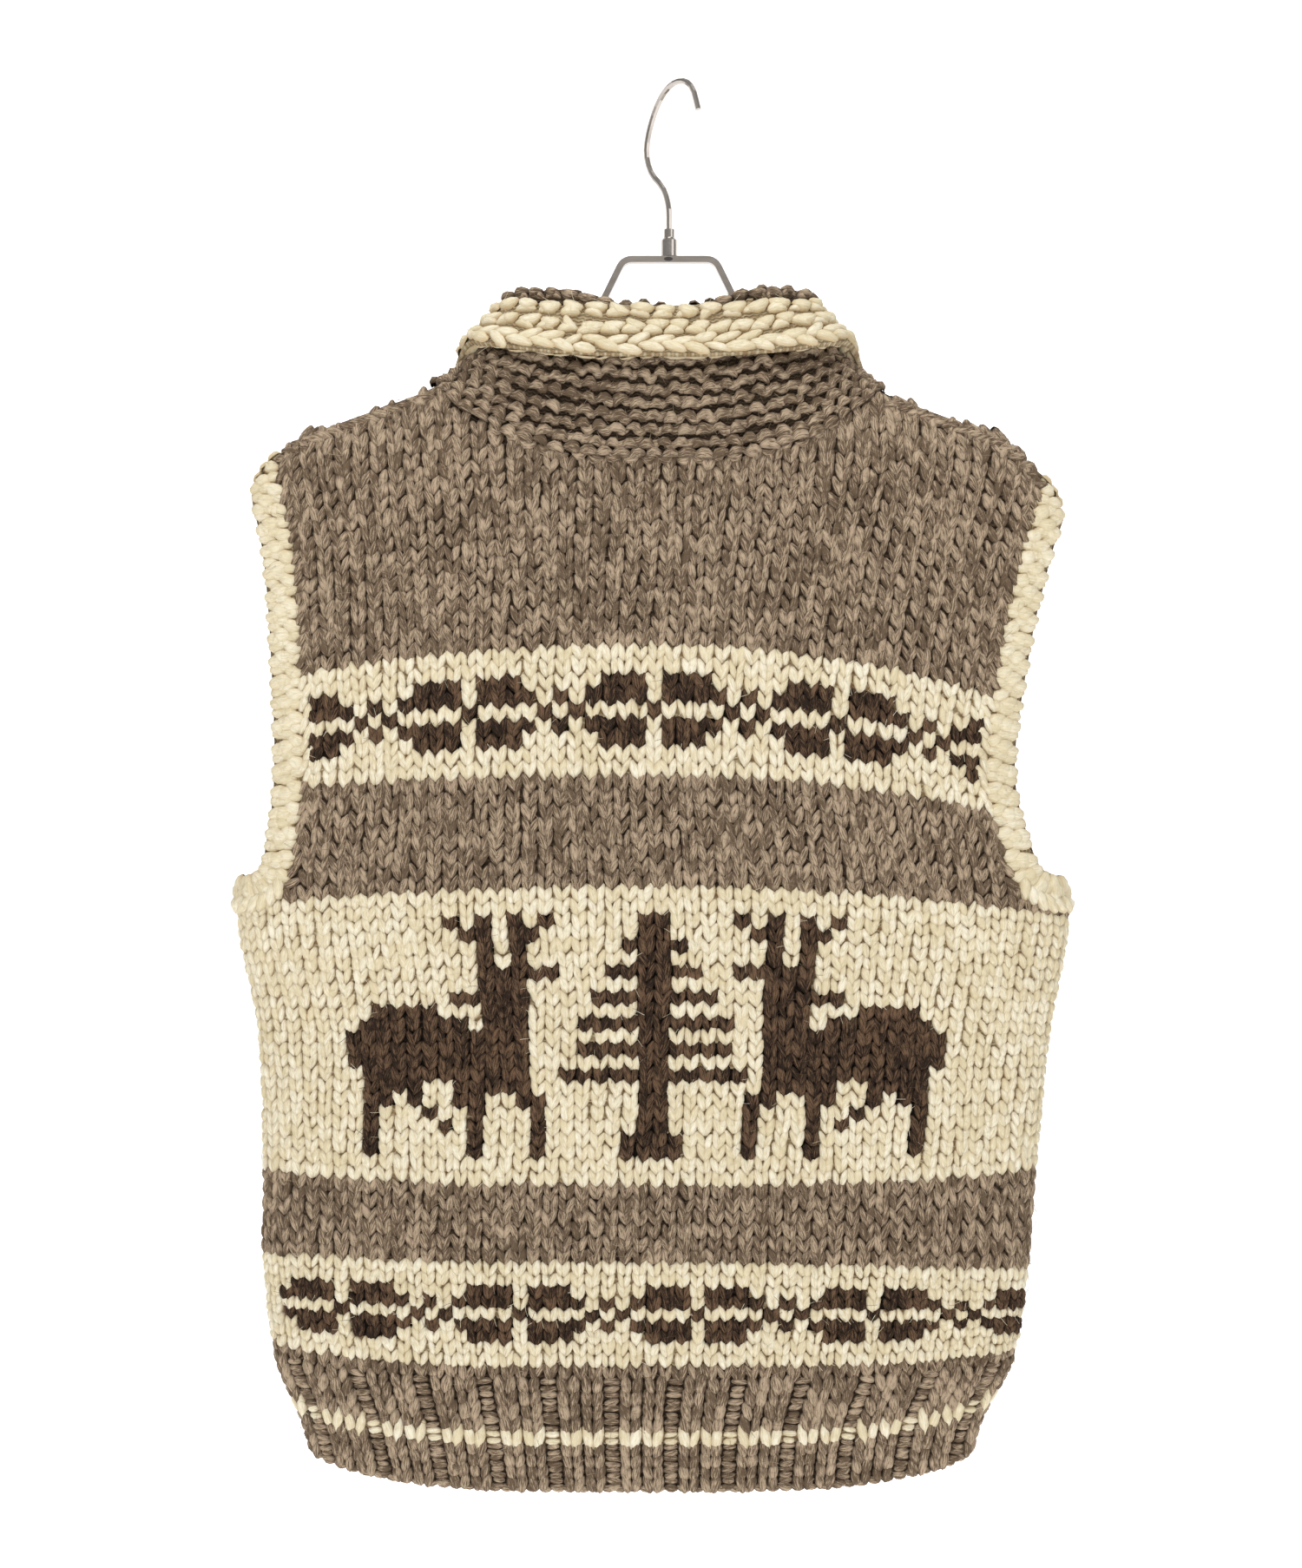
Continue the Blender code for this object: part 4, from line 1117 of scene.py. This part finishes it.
def collar_section(part):
    """Middle line of the folded collar in one section, from its seam to its free edge."""
    end = 2 * NECK_COLUMN
    fold, edge = collar_line(part, "fold"), collar_line(part, "edge")
    outer, inner = neckline_point(part, 0), neckline_point(part, -WALL)
    ahead = neckline_point(min(part + 1, end), 0) - neckline_point(max(part - 1, -end), 0)
    rise = ahead.cross(outer - inner).normalized()
    if rise.dot(fold - outer) < 0:
        rise.negate()
    if abs(part) == end:
        rise = Vector((0, 0, 1))
    seam = (outer + inner) / 2 + rise * SEAM_GAP
    fall = (edge - fold).normalized()
    along = collar_line(min(part + 0.5, end), "fold") - collar_line(max(part - 0.5, -end), "fold")
    out = fall.cross(along).normalized()
    foot = fold - out * COLLAR_FOLD_RADIUS
    reach = (foot - seam).length / 3
    points = []
    for step in range(STAND_STEPS):
        t = step / STAND_STEPS
        a, b = seam + rise * reach, foot + fall * reach
        points.append((1 - t) ** 3 * seam + 3 * t * (1 - t) ** 2 * a + 3 * t**2 * (1 - t) * b + t**3 * foot)
    for step in range(FOLD_STEPS + 1):
        turn = math.pi * step / FOLD_STEPS
        points.append(fold - COLLAR_FOLD_RADIUS * (math.cos(turn) * out + math.sin(turn) * fall))
    start, stop = points[-1], edge + out * COLLAR_FOLD_RADIUS
    points += [start.lerp(stop, step / EDGE_STEPS) for step in range(1, EDGE_STEPS + 1)]
    return points


collar_parts = np.linspace(-2 * NECK_COLUMN, 2 * NECK_COLUMN, COLLAR_SECTIONS)
COLLAR = np.array([[point[:] for point in collar_section(part)] for part in collar_parts])
collar_along = np.gradient(COLLAR, axis=0)
collar_up = np.gradient(COLLAR, axis=1)
COLLAR_NORMAL = unit(np.cross(collar_along, collar_up))
COLLAR_RUN = np.concatenate((np.zeros((COLLAR_SECTIONS, 1)),
                             np.cumsum(np.linalg.norm(np.diff(COLLAR, axis=1), axis=2), axis=1)), axis=1)
FOLD_RUN = COLLAR_RUN[:, STAND_STEPS]
print("collar strip at the centre back:", round(float(COLLAR_RUN[COLLAR_SECTIONS // 2, -1])), "mm wide")

# %% Ridges along the collar
PALE_WIDTH = 38.0             # of the pale edge, from the free edge
STAND_RIDGE_COUNT, FACE_RIDGE_COUNT = 10, 3
FACE_RIDGE_START, FACE_RIDGE_PITCH = 3.5, 8.6     # mm past the fold, on the side that falls over
RIDGE_MARGIN = 1.0            # mm that a ridge keeps from the seam, or may reach into the pale edge
Ridge = namedtuple("Ridge", "pitch half_width half_length height slant bend lift")
GARTER = (                    # two rows of bumps that lock into each other
    (2.2, 0.0, Ridge(10.8, 3.7, 5.9, 4.7, 0, -3.4, -0.4)),
    (-2.9, 0.5, Ridge(10.8, 3.5, 5.7, 3.9, 0, 3.0, -1.3)),
)
PALE_RIDGES = (               # distance from the free edge, the share of a pitch, the bumps
    (33.4, 0.0, Ridge(14.4, 4.3, 7.3, 4.8, 3, -2.2, -0.2)),
    (27.7, 0.5, Ridge(14.4, 3.5, 6.8, 3.9, 0, 2.0, -0.8)),
    (21.6, 0.2, Ridge(13.4, 3.9, 6.9, 4.6, 4, -2.4, -0.3)),
    (15.8, 0.7, Ridge(13.4, 3.5, 6.7, 4.0, -4, 2.2, -0.7)),
    (9.4, 0.0, Ridge(13.8, 3.5, 9.0, 4.6, -15, -0.9, -0.3)),
    (3.6, 0.35, Ridge(13.8, 3.5, 9.0, 4.5, 13, 0.9, -0.3)),
)
SEAM_RIDGE = Ridge(10.4, 3.8, 6.4, 4.6, 0, -2.4, 0.0)     # proud of the body, hiding the seam
SEAM_RIDGE_RUN = 0.5


def collar_axes(index, run, side):
    """Axes on the collar at section indices and runs from the seam; side 1 faces the neck."""
    low = np.clip(index.astype(int), 0, COLLAR_SECTIONS - 2)
    share = (index - low)[:, None]
    spots, ups, outs, rights = [], [], [], []
    for n, (i, at) in enumerate(zip(low, run)):
        weights = (1 - share[n], share[n])
        path_run = weights[0] * COLLAR_RUN[i] + weights[1] * COLLAR_RUN[i + 1]
        mixed = [weights[0] * table[i] + weights[1] * table[i + 1]
                 for table in (COLLAR, collar_up, COLLAR_NORMAL, collar_along)]
        values = [np.array([np.interp(at, path_run, table[:, k]) for k in range(3)]) for table in mixed]
        for store, value in zip((spots, ups, outs, rights), values):
            store.append(value)
    up, out, right = unit(np.array(ups)), unit(np.array(outs)), unit(np.array(rights))
    out = out if side == 0 else -out
    right = right if side == 0 else -right
    up = np.cross(out, right)
    return np.array(spots) + out * WALL / 2, right, up, out


def lay_ridge(grains, run_of, side, shift, ridge, inside):
    """Bumps along one ridge of the collar. run_of gives the run from the seam in each section."""
    index = np.arange(COLLAR_SECTIONS, dtype=float)
    spots = collar_axes(index, run_of, side)[0]
    length = np.concatenate(([0], np.cumsum(np.linalg.norm(np.diff(spots, axis=0), axis=1))))
    at = np.arange((shift + 0.3) * ridge.pitch, length[-1] - 0.3 * ridge.pitch, ridge.pitch)
    stations = np.interp(at, length, index)
    stations = stations[np.interp(stations, index, inside.astype(float)) > 0.99]
    if not len(stations):
        return
    noise = RANDOM.normal(0, 1, (4, len(stations)))
    axes = collar_axes(stations, np.interp(stations, index, run_of) + 0.9 * noise[0], side)
    grains.add(axes, ridge.half_width * (1 + 0.08 * noise[1]), ridge.half_length * (1 + 0.08 * noise[2]),
               ridge.height, math.pi / 2 + math.radians(ridge.slant) + 0.19 * noise[3], ridge.bend,
               ridge.lift + 0.25 * noise[1])


def knit_collar():
    """The brown ridges of stand and fold, the pale ones of the edge, and the one on the seam."""
    brown, cream = Grains(), Grains()
    back = np.abs(collar_parts) <= NECK_COLUMN
    spacing = np.where(back, FOLD_RUN, np.interp(NECK_COLUMN, collar_parts, FOLD_RUN)) / STAND_RIDGE_COUNT
    total = COLLAR_RUN[:, -1]
    for k in range(STAND_RIDGE_COUNT):
        for side in (0, 1):
            for offset, shift, ridge in GARTER:
                run = FOLD_RUN - spacing * (k + 0.5) + offset
                lay_ridge(brown, np.maximum(run, RIDGE_MARGIN), side, shift + 0.31 * k, ridge,
                          run > RIDGE_MARGIN)
    for k in range(FACE_RIDGE_COUNT):
        for offset, shift, ridge in GARTER:
            run = FOLD_RUN + FACE_RIDGE_START + FACE_RIDGE_PITCH * k + offset
            lay_ridge(brown, run, 1, shift + 0.4 * k, ridge, run < total - PALE_WIDTH + RIDGE_MARGIN)
    for side in (0, 1):
        for distance, shift, ridge in PALE_RIDGES:
            lay_ridge(cream, total - distance, side, shift, ridge, total > 0)
    lay_ridge(brown, np.full(COLLAR_SECTIONS, SEAM_RIDGE_RUN), 0, 0.25, SEAM_RIDGE, back)
    return (brown.build("collar_garter", wool_materials[BROWN]),
            cream.build("collar_edge_garter", edge_material))


COLLAR_BACKING_HALF = 2.0


def collar_backing():
    """The strip of cloth inside the collar's ridges."""
    sides = np.stack([COLLAR + turn * COLLAR_BACKING_HALF * COLLAR_NORMAL for turn in (1, -1)])
    wool_of = np.where(COLLAR_RUN[:-1, :-1] > COLLAR_RUN[:-1, -1:] - PALE_WIDTH, CREAM, BROWN)
    cloth = knitted_slab("collar_cloth", sides, wool_of, np.full(wool_of.shape, True))
    return cloth, cloth_area(COLLAR)


collar_cloth, collar_area = collar_backing()
collar_pieces = knit_collar()

# %% [markdown]
# ## Stray fibres
# Hand-spun wool is hairy: single fibres slip out of the twist, stand a few millimetres off the cloth and
# blur its outline. Real hair curves would be lost in an export, so each fibre is a thin bent ribbon of
# three quads. It starts on a grain picked at random and rises towards its free end. Its width is turned
# at random, so the fibres show from every side.

# %% Fibres
FIBRE_SHARE = 0.75            # fibres to a grain
FIBRE_WIDTH = 0.26
FIBRE_LENGTHS = (5.0, 12.0)
FIBRE_RISES = (0.4, 3.4)
FIBRE_CURL = 2.4
FIBRE_BEHIND = 0.3            # of a fibre, from its start to the middle of its grain
HEIGHT_AT, LIFT_AT = 14, 17   # places of these numbers in a grain's row
FIBRE_ROOT = 0.9              # of the grain's height, where a fibre comes out
FIBRE_STATIONS = np.array([0.0, 1 / 3, 2 / 3, 1.0])
FIBRE_QUADS = np.array([[2 * n, 2 * n + 1, 2 * n + 3, 2 * n + 2] for n in range(3)])
FIBRE_FLAT = np.array([[side, 2 * at - 1] for at in FIBRE_STATIONS for side in (-1, 1)])


def stray_fibres(name, material):
    """Ribbons on grains of one wool, picked at random."""
    rows = np.concatenate(laid[material.name])
    rows = rows[RANDOM.choice(len(rows), int(FIBRE_SHARE * len(rows)), replace=False)]
    spot, right, up, out = (rows[:, None, 3 * n:3 * n + 3] for n in range(4))
    top = (rows[:, HEIGHT_AT] * FIBRE_ROOT + rows[:, LIFT_AT])[:, None, None]
    turn, twist = RANDOM.uniform(0, 2 * math.pi, (2, len(rows), 1, 1))
    length, rise = (RANDOM.uniform(*limits, (len(rows), 1, 1)) for limits in (FIBRE_LENGTHS, FIBRE_RISES))
    curl = RANDOM.normal(0, FIBRE_CURL, (len(rows), 1, 1))
    ahead = right * np.cos(turn) + up * np.sin(turn)
    aside = up * np.cos(turn) - right * np.sin(turn)
    at = np.repeat(FIBRE_STATIONS, 2)[None, :, None]
    middle = spot + out * (top + rise * at**1.5) + ahead * length * (at - FIBRE_BEHIND) + aside * curl * at**2
    edge = (aside * np.cos(twist) + out * np.sin(twist)) * FIBRE_WIDTH / 2
    place = middle + edge * FIBRE_FLAT[None, :, :1]
    strand = np.broadcast_to(FIBRE_FLAT * 2.0, place.shape[:2] + (2,))
    return yarn_mesh(name, place, FIBRE_QUADS, FIBRE_FLAT, strand, np.ones(len(FIBRE_FLAT)), material)


fibre_pieces = [stray_fibres(f"stray_fibres_{material.name}", material)
                for material in [*wool_materials, edge_material]]

# %% [markdown]
# ## Hanger
# The hanger is plain stainless steel: a flat strip with a brushed face, a turned ferrule and a
# polished wire hook. The CAD solids already have the right shapes, so they only get better finishes:
# fine lines along the strip, faint smears in the polish.

# %% Steel
Steel = namedtuple("Steel", "name colour rough_low rough_gain line_scale bump")
STEELS = (
    Steel("brushed_steel", (0.52, 0.465, 0.415), 0.22, 0.2, (60.0, 900.0, 900.0), 0.12),
    Steel("polished_steel", (0.56, 0.51, 0.465), 0.10, 0.16, (300.0, 300.0, 300.0), 0.03),
)


def steel_material(steel):
    material, blank, shader = start_material(steel.name)
    place = blank.node("ShaderNodeTexCoord", output="Object")
    lines = place.noise(1.0, 3.0, steel.line_scale)
    smears = place.noise(60.0, 2.0)
    dull = (*(value * 0.86 for value in steel.colour), 1)
    bright = (*(value * 1.12 for value in steel.colour), 1)
    colour = (lines * 0.5 + smears * 0.5).limit().blend(dull, bright)
    roughness = (lines * 0.6 + smears * 0.4) * steel.rough_gain + steel.rough_low
    bump = blank.node("ShaderNodeBump", None, {"Height": lines, "Strength": steel.bump, "Distance": 0.0002},
                      "Normal")
    for name, signal in (("Base Color", colour), ("Roughness", roughness), ("Normal", bump)):
        material.node_tree.links.new(signal.socket, shader.inputs[name])
    shader.inputs["Metallic"].default_value = 1.0
    return material


brushed, polished = (steel_material(steel) for steel in STEELS)
for node, material in (("hanger_bar", brushed), ("hanger_ferrule", polished), ("hanger_hook", polished)):
    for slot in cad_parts[node].material_slots:
        slot.material = material
print("steel on the hanger's three nodes")

# %% [markdown]
# A countersunk screw holds the ferrule to the strip. From behind only its slightly oval head hole
# shows, dark with shade, so a small disc of painted shade stands for it, just proud of the strip's face.

# %% Screw hole
SCREW_PLACE = Vector((-8.0, 2.97, -110.0))
SCREW_HALF_WIDTH, SCREW_HALF_HEIGHT = 2.8, 1.3

screw_material, _, screw_shader = start_material("screw_hole_painted_shade")
# The disc's near-black colour is painted shade, the shadow inside the hole.
screw_shader.inputs["Base Color"].default_value = (0.035, 0.030, 0.028, 1)
screw_shader.inputs["Roughness"].default_value = 0.6
bm = bmesh.new()
bmesh.ops.create_circle(bm, cap_ends=True, segments=24, radius=1.0)
for vert in bm.verts:
    vert.co = (SCREW_PLACE + Vector((vert.co.x * SCREW_HALF_WIDTH, 0, vert.co.y * SCREW_HALF_HEIGHT))) * MM
screw_hole_painted_shade = add_mesh("hanger_screw_hole_painted_shade", bm, [screw_material])
print("screw hole on the top bar")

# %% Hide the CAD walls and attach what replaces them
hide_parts("back")
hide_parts("front")
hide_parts("collar", "collar_band")
for (cloth, _, _), node in zip(arm_bands, ("armhole_band_left", "armhole_band_right")):
    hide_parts(node)
dressed = [back_cloth, front_cloth, collar_cloth, *collar_pieces]
dressed += stitch_pieces["back"] + stitch_pieces["front"]
dressed += [piece for cloth, rungs, _ in arm_bands for piece in (cloth, rungs)] + fibre_pieces
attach(screw_hole_painted_shade, "root")
for piece in dressed:
    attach(piece, "root")

# %% [markdown]
# ## The cut of each cloth
# The armhole bands' cloths print their areas here, and the back and front printed theirs when made. The
# vest's pieces hang from the hanger and nothing is stretched, so each area comes from the pattern's own arcs
# and heights.

for cloth, rungs, area in arm_bands:
    area / (ARM_BAND_WIDTH * MM)
    print(cloth.name, round(area, 4), "square metres")
